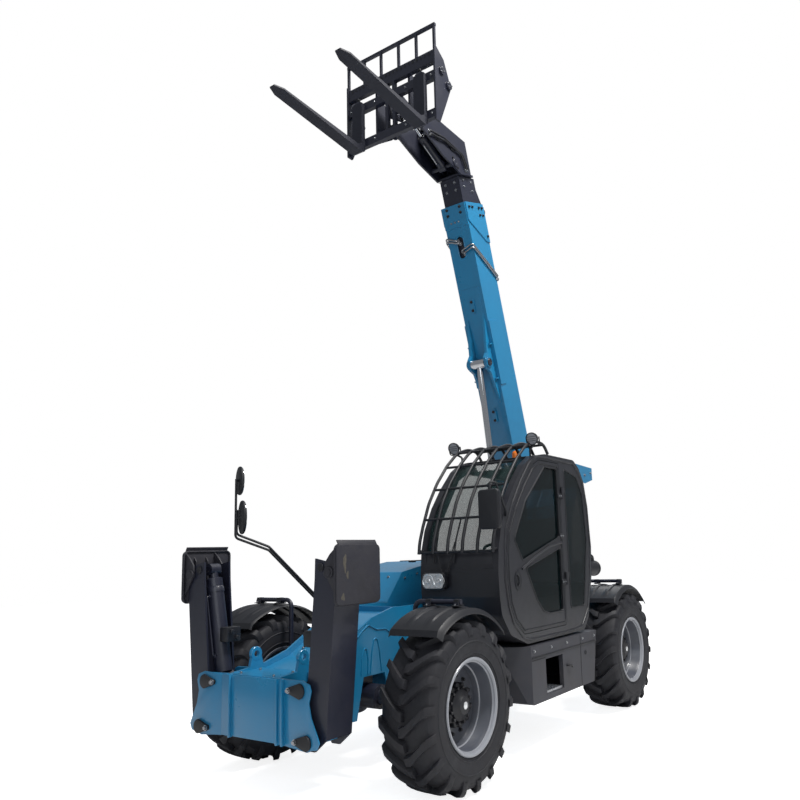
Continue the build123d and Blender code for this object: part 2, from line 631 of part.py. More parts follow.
with BuildPart() as lamps:
    LAMPS = ((CAB_INNER_X + 140, 631.9, 1475, 75), (-900, 819.8, 1300, 80))
    for x, y, z, radius in LAMPS:
        rod((x, back(y - 60), z), (x, back(y), z), radius)
    for x in (CAB_INNER_X + 60, CAB_OUTER_X - 60):
        rod((x, back(1290), 2790), (x, back(1360), 2790), 70)
        rod((x, back(1345), 2603), (x, back(1345), 2730), 10)
finish(lamps, "lamps")

with BuildPart() as beacon:
    with Locations((CAB_INNER_X + 160, back(2205), 2640)):
        Cylinder(50, 60, align=(Align.CENTER, Align.CENTER, Align.MIN))
        Cylinder(42, 170, align=(Align.CENTER, Align.CENTER, Align.MIN))
finish(beacon, "beacon")

with BuildPart() as mirrors:
    # right: a double tube from the hood, with two heads on the upright
    block((-780, -700), (back(808), back(819.7)), (1180, 1260))
    bent_tube(
        (
            (-740, back(810), 1225), (-740, back(600), 1400), (-1080, back(-60), 1840),
            (-1230, back(-180), 1935), (-1230, back(-180), 2480),
        ), 40, 14,
    )
    for z, half_height, shift in ((2455, 135, -10.0), (2110, 155, 70.0)):
        centre = (-1215 + 0.93 * shift, back(-160 - 0.36 * shift), z)
        facing = Plane(origin=centre, x_dir=(0, 0, 1), z_dir=(0.36, 0.93, 0))
        with BuildSketch(facing) as head_outline:
            Ellipse(half_height, 95)
        extrude(head_outline.sketch, amount=30)
        rod((-1230, back(-180), z), tuple(facing.origin + facing.z_dir * 5), 12)
    # left: a head on an arm from the cab's front pillar
    bent_tube(
        ((1092, back(790), 2050), (1092, back(600), 2330), (1150, back(590), 2330),
            (1150, back(590), 2250)), 25, 10,
    )
    block((1080.3, 1100), (back(775), back(805)), (2030, 2080))
    block((1030, 1240), (back(560), back(620)), (1920, 2270))
finish(mirrors, "mirrors")

# Boom: outer, mid and head sections, one inside the other
half_boom = BOOM_WIDTH / 2


def tube_section(start, end, half_width, belly, top, wall):
    """A square tube along the boom, from start to end."""
    plate(
        BOOM.offset(-half_width), ((start, -top), (end, -top), (end, belly),
            (start, belly)), 2 * half_width,
    )
    plate(
        BOOM.offset(-half_width + wall),
        ((start - 1, wall - top), (end + 1, wall - top), (end + 1, belly - wall),
            (start - 1, belly - wall)),
        2 * (half_width - wall), mode=Mode.SUBTRACT,
    )


def wear_pads(start, end, half_width, belly, top):
    """Pads on the four inner walls of a section's mouth, on which the next section slides."""
    thick = SECTION_GAP - 0.3
    for low, high in ((-top - 1, thick - top), (belly - thick, belly + 1)):
        plate(BOOM.offset(-60), ((start, low), (end, low), (end, high), (start, high)), 120)
    for x in (-half_width - 1, half_width - thick):
        plate(BOOM.offset(x), ((start, -50), (end, -50), (end, 150), (start, 150)), thick + 1)


NECK = Plane(origin=on_boom(MID_REACH, 0), x_dir=BOOM.x_dir, z_dir=(1, 0, 0))
with BuildPart() as outer_boom:
    tube_section(-BOOM_TAIL, BOOM_LENGTH, half_boom, BOOM_BELLY, BOOM_BACK, BOOM_WALL)
    # doublers on the sides and the end plate with its angled edge
    for side in (1, -1):
        skin = BOOM.offset(side * half_boom if side > 0 else -half_boom - 12)
        plate(skin, ((1910, 150), (2650, 60), (2650, BOOM_BELLY), (1910, BOOM_BELLY)), 12)
        plate(skin, ((BOOM_LENGTH - 450, -BOOM_BACK), (BOOM_LENGTH - 440, -60),
            (BOOM_LENGTH - 200, BOOM_BELLY), (BOOM_LENGTH, BOOM_BELLY),
                     (BOOM_LENGTH, -60), (BOOM_LENGTH - 40, -BOOM_BACK)), 12)
        # ear brackets for the lift cylinder's eye
        ear = BOOM.offset(side * 120 - (30 if side > 0 else 0))
        plate(ear, ((1700, BOOM_BELLY), (2080, 380), (2130, 450), (2250, 450), (2300, 390),
            (2750, BOOM_BELLY)), 30)
        with Locations(BOOM * Location((EYE_ALONG, EYE_OUT, side * 128))):
            Cylinder(60, 16)
    # belly and back doublers, bosses and end plates
    for u_range, n_range, half in (
        ((1910, 2650), (BOOM_BELLY, BOOM_BELLY + 12), 86), ((2650, BOOM_LENGTH - 950),
            (BOOM_BELLY, BOOM_BELLY + 8), 110),
        ((2220, BOOM_LENGTH - 710), (-BOOM_BACK - 12, -BOOM_BACK), 120),
            ((BOOM_LENGTH - 250, BOOM_LENGTH), (BOOM_BELLY, BOOM_BELLY + 12), half_boom),
        ((BOOM_LENGTH - 250, BOOM_LENGTH), (-BOOM_BACK - 12, -BOOM_BACK), half_boom),
    ):
        plate(BOOM.offset(-half), [(u, n) for u, n in zip(u_range + u_range[::-1],
            (n_range[0],) * 2 + (n_range[1],) * 2)],
              2 * half)
    for along in (1560, 2850):
        with BuildSketch(Plane(origin=on_boom(along, BOOM_BELLY), x_dir=BOOM.x_dir,
            z_dir=BOOM.y_dir)) as boss:
            SlotOverall(170, 60)
        extrude(boss.sketch, amount=22)
    # the slot in the belly where the hoses come out
    with BuildSketch(Plane(origin=on_boom(BOOM_LENGTH - 475, BOOM_BELLY + 1), x_dir=BOOM.x_dir,
        z_dir=BOOM.y_dir)) as slot:
        SlotOverall(250, 90)
    extrude(slot.sketch, amount=-BOOM_WALL - 2, mode=Mode.SUBTRACT)
    # stiffeners beside the ears
    for side in (1, -1):
        for along in (1990, 2390):
            plate(
                BOOM.offset(side * 135), ((along - 8, BOOM_BELLY - 1), (along + 8, BOOM_BELLY - 1),
                    (along + 8, 330),
                                          (along - 8, 330)), 16, both=True,
            )
    # pivot boss through the tail
    rod(on_boom(0, 0, -half_boom), on_boom(0, 0, half_boom), 110)
    rod(on_boom(0, 0, -half_boom - 1), on_boom(0, 0, half_boom + 1), 45.05, mode=Mode.SUBTRACT)
    wear_pads(BOOM_LENGTH - 160, BOOM_LENGTH - 10, half_boom - BOOM_WALL, BOOM_BELLY - BOOM_WALL,
        BOOM_BACK - BOOM_WALL)
finish(outer_boom, "boom_outer")

mid_half = half_boom - BOOM_WALL - SECTION_GAP
mid_belly = BOOM_BELLY - BOOM_WALL - SECTION_GAP
mid_back = BOOM_BACK - BOOM_WALL - SECTION_GAP
mid_wall = 12.0
with BuildPart() as mid_boom:
    tube_section(700, MID_REACH, mid_half, mid_belly, mid_back, mid_wall)
    wear_pads(MID_REACH - 160, MID_REACH - 10, mid_half - mid_wall, mid_belly - mid_wall,
        mid_back - mid_wall)
    # the bracket that reaches back over the outer section's mouth
    for side in (1, -1):
        plate(
            NECK.offset(side * 75 - 7),
            ((-270, -mid_back + 1), (-10, -mid_back + 1), (-10, -130), (-100, -180), (-310, -268),
                (-375, -275),
             (-410, -240), (-380, -205), (-290, -162), (-270, -150)), 14,
        )
    rod(on_boom(MID_REACH - 365, -235, -95), on_boom(MID_REACH - 365, -235, 95), 22)
finish(mid_boom, "boom_mid")

head_half = mid_half - mid_wall - SECTION_GAP
head_belly = mid_belly - mid_wall - SECTION_GAP
head_back = mid_back - mid_wall - SECTION_GAP
tilt_base = Vector(*on_boom(*TILT_BASE))
HEAD_SIDE = (
    (6, 20), (390, 15), (550, 490), (560, 900), (530, 980), (440, 990), (400, 850),
    (180, 560), (6, head_belly + 20),
)
with BuildPart() as head:
    tube_section(900, MID_REACH + 30, head_half, head_belly, head_back, 12)
    for side in (1, -1):
        plate(NECK.offset(side * HEAD_HALF_WIDTH - (20 if side > 0 else 0)), HEAD_SIDE, 20)
    inner = HEAD_HALF_WIDTH - 20
    plate(NECK.offset(-inner), ((6, 0), (390, 15), (390, 35), (6, 20)), 2 * inner)
    plate(NECK.offset(-inner), ((390, 15), (550, 490), (530, 496), (372, 25)), 2 * inner)
    plate(NECK.offset(-inner), ((6, -60), (30, -60), (30, 250), (6, 250)),
          2 * inner)
    rod(on_boom(*CARRIAGE_PIN, -HEAD_HALF_WIDTH - 1), on_boom(*CARRIAGE_PIN, HEAD_HALF_WIDTH + 1),
        CARRIAGE_PIN_RADIUS + 0.05,
        mode=Mode.SUBTRACT)
    rod((-HEAD_HALF_WIDTH, tilt_base.Y, tilt_base.Z), (HEAD_HALF_WIDTH, tilt_base.Y, tilt_base.Z), TILT_PIN)
finish(head, "boom_head")

# Steel pipes: out of the belly's slot, over the left edge to the boom's back, and over the right edge
over_belly = BOOM_BELLY + 30
side_x = half_boom + 14
behind_back = -BOOM_BACK - 30
with BuildPart() as pipes:
    for shift in (0.0, 34.0):
        start = BOOM_LENGTH - 520 - shift
        across = 5 + 0.7 * shift
        bent_tube(
            (
                on_boom(start, BOOM_BELLY - 6, across), on_boom(start, over_belly, across),
                on_boom(start + 50, over_belly, side_x),
                on_boom(BOOM_LENGTH - 850 - 1.2 * shift, behind_back, side_x),
                on_boom(BOOM_LENGTH - 850 - 1.2 * shift, behind_back, 60 + shift),
                on_boom(1500, behind_back, 60 + shift),
            ), 26, 10,
        )
        start = BOOM_LENGTH - 430 + shift
        bent_tube(
            (
                on_boom(start, BOOM_BELLY - 6, -across), on_boom(start, over_belly, -across),
                on_boom(start + 60, over_belly, -side_x),
                on_boom(BOOM_LENGTH - 790 + 1.2 * shift, shift - 80, -side_x),
                on_boom(BOOM_LENGTH - 1300, shift - 80, -side_x),
            ), 26, 10,
        )
    # clamps on the boom's back and on its right side
    for along, skin in ((1540, 0.2), (2000, 0.2), (2450, 12.2), (BOOM_LENGTH - 1000, 12.2)):
        low = -BOOM_BACK - skin
        plate(BOOM.offset(44), ((along, behind_back - 14), (along + 50, behind_back - 14), (along + 50, low),
            (along, low)), 66)
    for along in (BOOM_LENGTH - 1290, BOOM_LENGTH - 1000):
        plate(BOOM.offset(-half_boom - 30), ((along, -96), (along + 50, -96), (along + 50, -30),
            (along, -30)), 29.8)
finish(pipes, "boom_pipes")

# Lift cylinder and rod
base_point = Vector(0, back(LIFT_BASE[0]), LIFT_BASE[1])
eye_point = Vector(*on_boom(EYE_ALONG, EYE_OUT))
lift_axis = (eye_point - base_point).normalized()
LIFT_TUBE_LENGTH = 1480.0
with BuildPart() as lift_cylinder:
    rod(tuple(base_point + lift_axis * 60), tuple(base_point + lift_axis * LIFT_TUBE_LENGTH), 80)
    with Locations(tuple(base_point)):
        Cylinder(75, 2 * LIFT_EAR_X - 7, rotation=(0, 90, 0))
        Cylinder(LIFT_PIN + 0.05, 2 * LIFT_EAR_X, rotation=(0, 90, 0), mode=Mode.SUBTRACT)
    rod(
        tuple(base_point + lift_axis * 60), tuple(base_point + lift_axis * (LIFT_TUBE_LENGTH + 1)), 55,
        mode=Mode.SUBTRACT,
    )
finish(lift_cylinder, "lift_cylinder")
with BuildPart() as lift_rod:
    rod(tuple(base_point + lift_axis * 1320), tuple(eye_point - lift_axis * 40), 36)
    rod(tuple(base_point + lift_axis * 1320), tuple(base_point + lift_axis * 1400), 54.5)
    with Locations(tuple(eye_point)):
        Cylinder(55, 170, rotation=(0, 90, 0))
finish(lift_rod, "lift_rod")

# Carriage and forks
carriage_pivot = Vector(*on_boom(*CARRIAGE_PIN))
tilt_eye = carriage_pivot + Vector(0, *TILT_CRANK)
CARRIAGE_HALF = 575.0
pin_z = carriage_pivot.Z
CARRIAGE = Plane(origin=tuple(carriage_pivot), x_dir=(0, 1, 0), z_dir=(1, 0, 0))
FACE = -271.0
carriage_bottom = pin_z - 232
beam_top = pin_z + 488
rail_top = pin_z + 778
with BuildPart() as carriage:
    face_y = carriage_pivot.Y + FACE
    for low, high in ((carriage_bottom, carriage_bottom + 90), (pin_z + 178, pin_z + 268),
        (beam_top - 130, beam_top)):
        block((-CARRIAGE_HALF, CARRIAGE_HALF), (face_y, face_y + 50), (low, high))
    for side in (1, -1):
        plate(
            CARRIAGE.offset(side * CARRIAGE_HALF - (20 if side > 0 else 0)),
            ((-281, -272), (-211, -272), (-111, -52), (-1, 198),
             (-121, 448), (-251, 528), (-281, 528)), 20,
        )
        for behind, z, radius in ((-56, 198, 44), (-176, 298, 40)):
            rod(tuple(CARRIAGE.from_local_coords(Vector(behind, z, side * (CARRIAGE_HALF - 1)))),
                tuple(CARRIAGE.from_local_coords(Vector(behind, z, side * (CARRIAGE_HALF + 18)))), radius)
        # hooks that reach back to the head's pivot
        plate(
            CARRIAGE.offset(side * 225 - (25 if side > 0 else 0)),
            ((-226, -232), (9, -72), (79, -2), (9, 78), (-226, 488)), 25,
        )
        block((side * 30, side * 62), (face_y, face_y + 46), (carriage_bottom, beam_top))
    for x in (-560, -340, -115, 115, 340, 560):
        block((x - 12, x + 12), (face_y, face_y + 25), (beam_top, rail_top - 10))
    block((-CARRIAGE_HALF, CARRIAGE_HALF), (face_y, face_y + 30), (rail_top - 30, rail_top))
    for side in (1, -1):
        plate(
            CARRIAGE.offset(side * TILT_EAR_X - (20 if side < 0 else 0)),
            ((-226, 18), (19, 93), (64, 148), (24, 198), (-226, 268)), 20,
        )
    rod((-225, carriage_pivot.Y, carriage_pivot.Z),
        (225, carriage_pivot.Y, carriage_pivot.Z), CARRIAGE_PIN_RADIUS)
finish(carriage, "carriage")

FORK_X = 400.0
FORK_HALF = 65.0
tip_y = carriage_pivot.Y - 1481.0
with BuildPart() as forks:
    for side in (1, -1):
        plate(
            CARRIAGE.offset(side * FORK_X - FORK_HALF),
            ((-271.3, 248), (-271.3, -282), (-311, -307), (-1481, -207), (-1481, -195),
             (-381, -247), (-326, -212), (-321, 248)), 2 * FORK_HALF,
        )
        # clipped corners of the tip
        for edge in (1, -1):
            plate(
                Plane.XY.offset(pin_z - 252),
                ((side * FORK_X + edge * (FORK_HALF + 1), tip_y + 90),
                    (side * FORK_X + edge * 30, tip_y - 1),
                 (side * FORK_X + edge * (FORK_HALF + 1), tip_y - 1)), 100, mode=Mode.SUBTRACT,
            )
finish(forks, "forks")

# Tilt cylinder, from the head's neck to the carriage
tilt_axis = (tilt_eye - tilt_base).normalized()
with BuildPart() as tilt_cylinder:
    rod(tuple(tilt_base + tilt_axis * 30), tuple(tilt_base + tilt_axis * 440), 50)
    with Locations(tuple(tilt_base)):
        Cylinder(45, 90, rotation=(0, 90, 0))
        Cylinder(TILT_PIN + 0.05, 120, rotation=(0, 90, 0), mode=Mode.SUBTRACT)
    rod(tuple(tilt_base + tilt_axis * 60), tuple(tilt_base + tilt_axis * 441), 36, mode=Mode.SUBTRACT)
finish(tilt_cylinder, "tilt_cylinder")
with BuildPart() as tilt_rod:
    rod(tuple(tilt_base + tilt_axis * 270), tuple(tilt_eye - tilt_axis * 30), 25)
    rod(tuple(tilt_base + tilt_axis * 270), tuple(tilt_base + tilt_axis * 310), 35.5)
    with Locations(tuple(tilt_eye)):
        Cylinder(42, 100, rotation=(0, 90, 0))
finish(tilt_rod, "tilt_rod")

# Stabilizers
for name, side in SIDES:
    leg_front = nose_front + NOSE_PLATE + 5.0
    leg_rear = leg_front + LEG_DEPTH
    LEG = (
        (LEG_PIN[0] - 60, LEG_PIN[1] - 20), (LEG_PIN[0] - 30, LEG_PIN[1] - 62),
            (LEG_PIN[0] + 40, LEG_PIN[1] - 62),
        (LEG_PIN[0] + 140, LEG_PIN[1] + 20), (PAD_PIN[0] + 30, PAD_PIN[1] - 220),
        (PAD_PIN[0] + 50, PAD_PIN[1] + 20), (PAD_PIN[0] + 20, PAD_PIN[1] + 60),
            (STRUT_EYE[0] - 55, STRUT_EYE[1] + 60),
        (STRUT_EYE[0] - 60, STRUT_EYE[1] - 80),
    )
    front_view = Plane(origin=(0, leg_front, 0), x_dir=(1, 0, 0), z_dir=(0, -1, 0))
    with BuildPart() as leg:
        for offset_y in (0.0, LEG_DEPTH - LEG_PLATE):
            with BuildSketch(front_view.offset(-offset_y)):
                with BuildLine():
                    Polyline(*[(side * x, z) for x, z in LEG], close=True)
                make_face()
                with Locations((side * LEG_PIN[0], LEG_PIN[1])):
                    Circle(PIN_RADIUS + 0.05, mode=Mode.SUBTRACT)
                with Locations((side * PAD_PIN[0], PAD_PIN[1])):
                    Circle(PAD_PIN_RADIUS + 0.05, mode=Mode.SUBTRACT)
            extrude(amount=-LEG_PLATE)
        with BuildSketch(front_view):
            with BuildLine():
                Polyline(
                    *[(side * x, z) for x, z in (
                        (LEG_PIN[0] + 140, LEG_PIN[1] + 20), (PAD_PIN[0] + 30, PAD_PIN[1] - 220),
                        (PAD_PIN[0] + 12, PAD_PIN[1] - 220), (LEG_PIN[0] + 122, LEG_PIN[1] + 30))],
                    close=True,
                )
            make_face()
        extrude(amount=-LEG_DEPTH)
    finish(leg, f"stabilizer_leg_{name}")

    with BuildPart() as pad:
        pad_x = PAD_PIN[0] + 70
        pad_middle = (leg_front + leg_rear) / 2
        block(
            (side * pad_x, side * (pad_x + 16)), (pad_middle - PAD_LENGTH / 2, pad_middle + PAD_LENGTH / 2),
            (PAD_PIN[1] - 210, PAD_PIN[1] - 210 + PAD_HEIGHT),
        )
        for y in (leg_front - 5 - 14, leg_rear + 5):
            with BuildSketch(Plane(origin=(0, y, 0), x_dir=(1, 0, 0), z_dir=(0, -1, 0))):
                with BuildLine():
                    Polyline(
                        *[(side * x, z) for x, z in (
                            (pad_x, PAD_PIN[1] - 170), (pad_x, PAD_PIN[1] + 160),
                                (PAD_PIN[0] - 30, PAD_PIN[1] + 50),
                            (PAD_PIN[0] - 40, PAD_PIN[1] - 30))],
                        close=True,
                    )
                make_face()
            extrude(amount=-14)
        for low, high in ((-210, -196), (PAD_HEIGHT - 224, PAD_HEIGHT - 210)):
            block(
                (side * (pad_x - 32), side * (pad_x + 2)),
                    (pad_middle - PAD_LENGTH / 2, pad_middle + PAD_LENGTH / 2),
                (PAD_PIN[1] + low, PAD_PIN[1] + high),
            )
        # a stub pin through each of the leg's plates, with the rod's eye free to pass between them
        for start, end in ((leg_front - 30, leg_front + LEG_PLATE + 4),
            (leg_rear - LEG_PLATE - 4, leg_rear + 30)):
            rod((side * PAD_PIN[0], start, PAD_PIN[1]),
                (side * PAD_PIN[0], end, PAD_PIN[1]), PAD_PIN_RADIUS)
    finish(pad, f"stabilizer_pad_{name}")

    strut_y = (leg_front + leg_rear) / 2
    strut_base = Vector(side * STRUT_PIN[0], strut_y, STRUT_PIN[1])
    strut_eye = Vector(side * STRUT_EYE[0], strut_y, STRUT_EYE[1])
    strut_axis = (strut_eye - strut_base).normalized()
    with BuildPart() as strut:
        rod(tuple(strut_base + strut_axis * 45), tuple(strut_base + strut_axis * 690), 65)
        with Locations(tuple(strut_base)):
            Cylinder(58, 110, rotation=(90, 0, 0))
            Cylinder(PIN_RADIUS + 0.05, 112, rotation=(90, 0, 0), mode=Mode.SUBTRACT)
        rod(
            tuple(strut_base + strut_axis * 100), tuple(strut_base + strut_axis * 691), 45,
                mode=Mode.SUBTRACT,
        )
    finish(strut, f"stabilizer_cylinder_{name}")
    with BuildPart() as piston:
        rod(tuple(strut_base + strut_axis * 110), tuple(strut_eye), 30)
        rod(tuple(strut_base + strut_axis * 110), tuple(strut_base + strut_axis * 150), 44.5)
        with Locations(tuple(strut_eye)):
            Cylinder(45, 90, rotation=(90, 0, 0))
    finish(piston, f"stabilizer_rod_{name}")
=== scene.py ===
# %% [markdown]
# # A telescopic handler, dressed
# The frame, the boom and every joint come from the CAD model, in metres and in one shared frame. This
# script gives each CAD piece its finish and adds the pieces that a maker would cast, mould or bend: tyres
# with lugs, fenders, the guard over the cab, lamps, mirrors, bolts and pipes.
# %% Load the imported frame
import bpy
import json
import math
from mathutils import Matrix, Vector

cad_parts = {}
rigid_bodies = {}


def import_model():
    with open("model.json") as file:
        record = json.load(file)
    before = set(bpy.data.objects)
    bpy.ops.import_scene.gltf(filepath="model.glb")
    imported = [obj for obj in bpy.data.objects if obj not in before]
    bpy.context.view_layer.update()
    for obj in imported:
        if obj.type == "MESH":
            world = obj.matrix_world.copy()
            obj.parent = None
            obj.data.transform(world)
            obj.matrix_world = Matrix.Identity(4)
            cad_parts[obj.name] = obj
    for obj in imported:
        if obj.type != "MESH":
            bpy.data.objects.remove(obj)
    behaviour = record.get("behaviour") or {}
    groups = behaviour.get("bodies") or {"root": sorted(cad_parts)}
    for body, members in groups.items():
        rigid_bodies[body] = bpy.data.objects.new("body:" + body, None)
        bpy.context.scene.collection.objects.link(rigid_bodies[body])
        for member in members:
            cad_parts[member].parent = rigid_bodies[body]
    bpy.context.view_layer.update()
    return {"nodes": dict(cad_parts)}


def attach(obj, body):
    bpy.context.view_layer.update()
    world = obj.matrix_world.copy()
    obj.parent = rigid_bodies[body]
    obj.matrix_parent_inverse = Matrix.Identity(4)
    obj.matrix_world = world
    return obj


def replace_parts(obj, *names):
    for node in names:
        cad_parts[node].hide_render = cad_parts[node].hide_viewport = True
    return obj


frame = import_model()
for obj in bpy.context.scene.objects:
    obj.select_set(False)

# %% [markdown]
# The camera stands where the photographer stood. Its place, turn and lens were worked out from points of
# the machine whose real places are known, such as the wheel centres and the cab's roof.
# %% Camera
FRONT = -1.745  # the y of the front axle
WHEELBASE, HALF_TRACK, AXLE_Z = 3.31, 0.985, 0.617  # the wheels' places: rear axle, side, height
X, Y, Z = (1, 0, 0), (0, 1, 0), (0, 0, 1)
CAB_SIDE, HOOD_SIDE, SEAL_X = 1.0802, -1.0802, 1.0795  # where plates lie on the sides, and seals sink in


def behind(distance):
    """The y of a place this far behind the front axle."""
    return FRONT + distance


yaw, pitch, roll = 0.5887, 0.1582, -0.0316
forward = Vector((-math.sin(yaw) * math.cos(pitch), math.cos(yaw) * math.cos(pitch), math.sin(pitch)))
right = Vector((math.cos(yaw), math.sin(yaw), 0.0))
upward = right.cross(forward)
right, upward = (math.cos(roll) * right + math.sin(roll) * upward,
                 math.cos(roll) * upward - math.sin(roll) * right)
camera_data = bpy.data.cameras.new("camera")
FOCAL, PICTURE, SENSOR = 717.28, 800, 36  # focal length and picture in pixels, the sensor in millimetres
camera_data.lens = FOCAL / PICTURE * SENSOR
camera_data.sensor_width = SENSOR
camera_data.shift_x = -0.0625
camera_data.shift_y = 0.05
camera_data.clip_end = 200
camera = bpy.data.objects.new("camera", camera_data)
turn = Matrix((right, upward, -forward)).transposed().to_4x4()
camera.matrix_world = Matrix.Translation((4.1325, behind(-4.6005), 1.7134)) @ turn
bpy.context.scene.collection.objects.link(camera)
bpy.context.scene.camera = camera
bpy.context.scene.view_settings.view_transform = "Standard"

# %% [markdown]
# Soft studio light: a pale sky, a strong lamp for the sun's side and two weaker ones that open the
# shadows. The floor and the sky look white to the camera alone, without adding light to the machine.
# %% Floor, world and lamps
def add_node(tree, kind, **settings):
    """A node with its settings and the values of its inputs, by name or place."""
    node = tree.nodes.new(kind)
    for key, value in settings.items():
        if key == "inputs":
            for socket, number in value.items():
                node.inputs[socket].default_value = number
        else:
            setattr(node, key, value)
    return node


def join_nodes(tree, joints):
    """Links given as rows: a node, its output, another node, its input."""
    for source, output, target, socket in joints:
        tree.links.new(source.outputs[output], target.inputs[socket])


def plain_light(name, place, target, size, power, colour):
    """A large soft lamp that points at a target."""
    data = bpy.data.lights.new(name, "AREA")
    data.size = size
    data.energy = power
    data.color = colour
    lamp = bpy.data.objects.new(name, data)
    lamp.location = place
    lamp.rotation_euler = (Vector(target) - Vector(place)).to_track_quat("-Z", "Y").to_euler()
    bpy.context.scene.collection.objects.link(lamp)


plain_light("sun_side", (5.5, -0.5, 12.0), (0, -0.3, 1.8), 3.0, 1500, (1.0, 0.98, 0.95))
plain_light("front_side", (6.0, -9.0, 6.0), (0, 0, 2.5), 6.0, 230, (0.93, 0.97, 1.0))
plain_light("rear_side", (-3.0, 8.0, 8.0), (0, 0, 2.5), 6.0, 300, (1.0, 1.0, 1.0))

world = bpy.data.worlds.new("studio")
bpy.context.scene.world = world
world.use_nodes = True
tree = world.node_tree
sky = tree.nodes["Background"]
sky.inputs["Color"].default_value = (0.86, 0.90, 0.95, 1)
sky.inputs["Strength"].default_value = 0.3
seen = add_node(tree, "ShaderNodeBackground", inputs={"Color": (1, 1, 1, 1)})
path = add_node(tree, "ShaderNodeLightPath")
choose = add_node(tree, "ShaderNodeMixShader")
join_nodes(tree, ((path, "Is Camera Ray", choose, "Fac"), (sky, 0, choose, 1), (seen, 0, choose, 2),
                  (choose, 0, tree.nodes["World Output"], "Surface")))

bpy.ops.mesh.primitive_plane_add(size=60, location=(0, 0, -0.002))
floor = bpy.context.object
floor.name = "floor"
floor_finish = bpy.data.materials.new("floor_finish")
floor_finish.use_nodes = True
floor_tree = floor_finish.node_tree
floor_skin = floor_tree.nodes["Principled BSDF"]
floor_skin.inputs["Base Color"].default_value = (0.8, 0.8, 0.8, 1)
floor_skin.inputs["Roughness"].default_value = 0.9
glow = add_node(floor_tree, "ShaderNodeEmission", inputs={"Color": (1, 1, 1, 1)})
to_camera = add_node(floor_tree, "ShaderNodeLightPath")
level = add_node(floor_tree, "ShaderNodeMath", operation="MULTIPLY", inputs={1: 0.85})
both = add_node(floor_tree, "ShaderNodeAddShader")
join_nodes(floor_tree, ((to_camera, "Is Camera Ray", level, 0), (level, 0, glow, "Strength"),
                        (floor_skin, 0, both, 0), (glow, 0, both, 1),
                        (both, 0, floor_tree.nodes["Material Output"], "Surface")))
floor.data.materials.append(floor_finish)
floor.select_set(False)

# %% [markdown]
# Every paint and plastic on a working machine shows the same few things: dust that gathers low down and
# in patches, a fine grain that breaks up its gloss, and small dents. That is one node group, placed in
# each material with its own values.
# %% The wear group
def srgb(red, green, blue):
    """A colour picked on screen, 0 to 255, as the linear values that a shader takes."""
    return tuple(((c / 255 + 0.055) / 1.055) ** 2.4 if c > 10 else c / 3294
                 for c in (red, green, blue)) + (1,)


wear = bpy.data.node_groups.new("Worn Surface", "ShaderNodeTree")
for name, kind, value in (("Scale", "NodeSocketFloat", 3.0), ("Dust Height", "NodeSocketFloat", 1.0),
                          ("Dust", "NodeSocketFloat", 0.4), ("Grain", "NodeSocketFloat", 220.0)):
    wear.interface.new_socket(name, in_out="INPUT", socket_type=kind).default_value = value
for name in ("Dust Mask", "Patches", "Height"):
    wear.interface.new_socket(name, in_out="OUTPUT", socket_type="NodeSocketFloat")


outer = add_node(wear, "NodeGroupInput")
result = add_node(wear, "NodeGroupOutput")
place = add_node(wear, "ShaderNodeTexCoord")
split = add_node(wear, "ShaderNodeSeparateXYZ")
patches = add_node(wear, "ShaderNodeTexNoise", inputs={"Detail": 6.0, "Roughness": 0.62})
grain = add_node(wear, "ShaderNodeTexNoise", inputs={"Detail": 3.0, "Roughness": 0.5})
low = add_node(wear, "ShaderNodeMath", operation="DIVIDE")
fade = add_node(wear, "ShaderNodeMapRange", inputs={"From Min": 0.0, "From Max": 1.0, "To Min": 1.0,
                                                    "To Max": 0.12})
streak = add_node(wear, "ShaderNodeMapRange", inputs={"From Min": 0.42, "From Max": 0.72})
dusty = add_node(wear, "ShaderNodeMath", operation="MULTIPLY")
amount = add_node(wear, "ShaderNodeMath", operation="MULTIPLY", use_clamp=True)
mix_height = add_node(wear, "ShaderNodeMath", operation="MULTIPLY_ADD", inputs={1: 0.25})
join_nodes(wear, (
    (place, "Object", split, 0), (place, "Object", patches, "Vector"), (place, "Object", grain, "Vector"),
    (outer, "Scale", patches, "Scale"), (outer, "Grain", grain, "Scale"), (split, "Z", low, 0),
    (outer, "Dust Height", low, 1), (low, 0, fade, "Value"), (patches, "Fac", streak, "Value"),
    (fade, 0, dusty, 0), (streak, 0, dusty, 1), (dusty, 0, amount, 0), (outer, "Dust", amount, 1),
    (grain, "Fac", mix_height, 0), (patches, "Fac", mix_height, 2), (amount, 0, result, "Dust Mask"),
    (patches, "Fac", result, "Patches"), (mix_height, 0, result, "Height")))


# %% Finishes
DUST = (150, 142, 130)


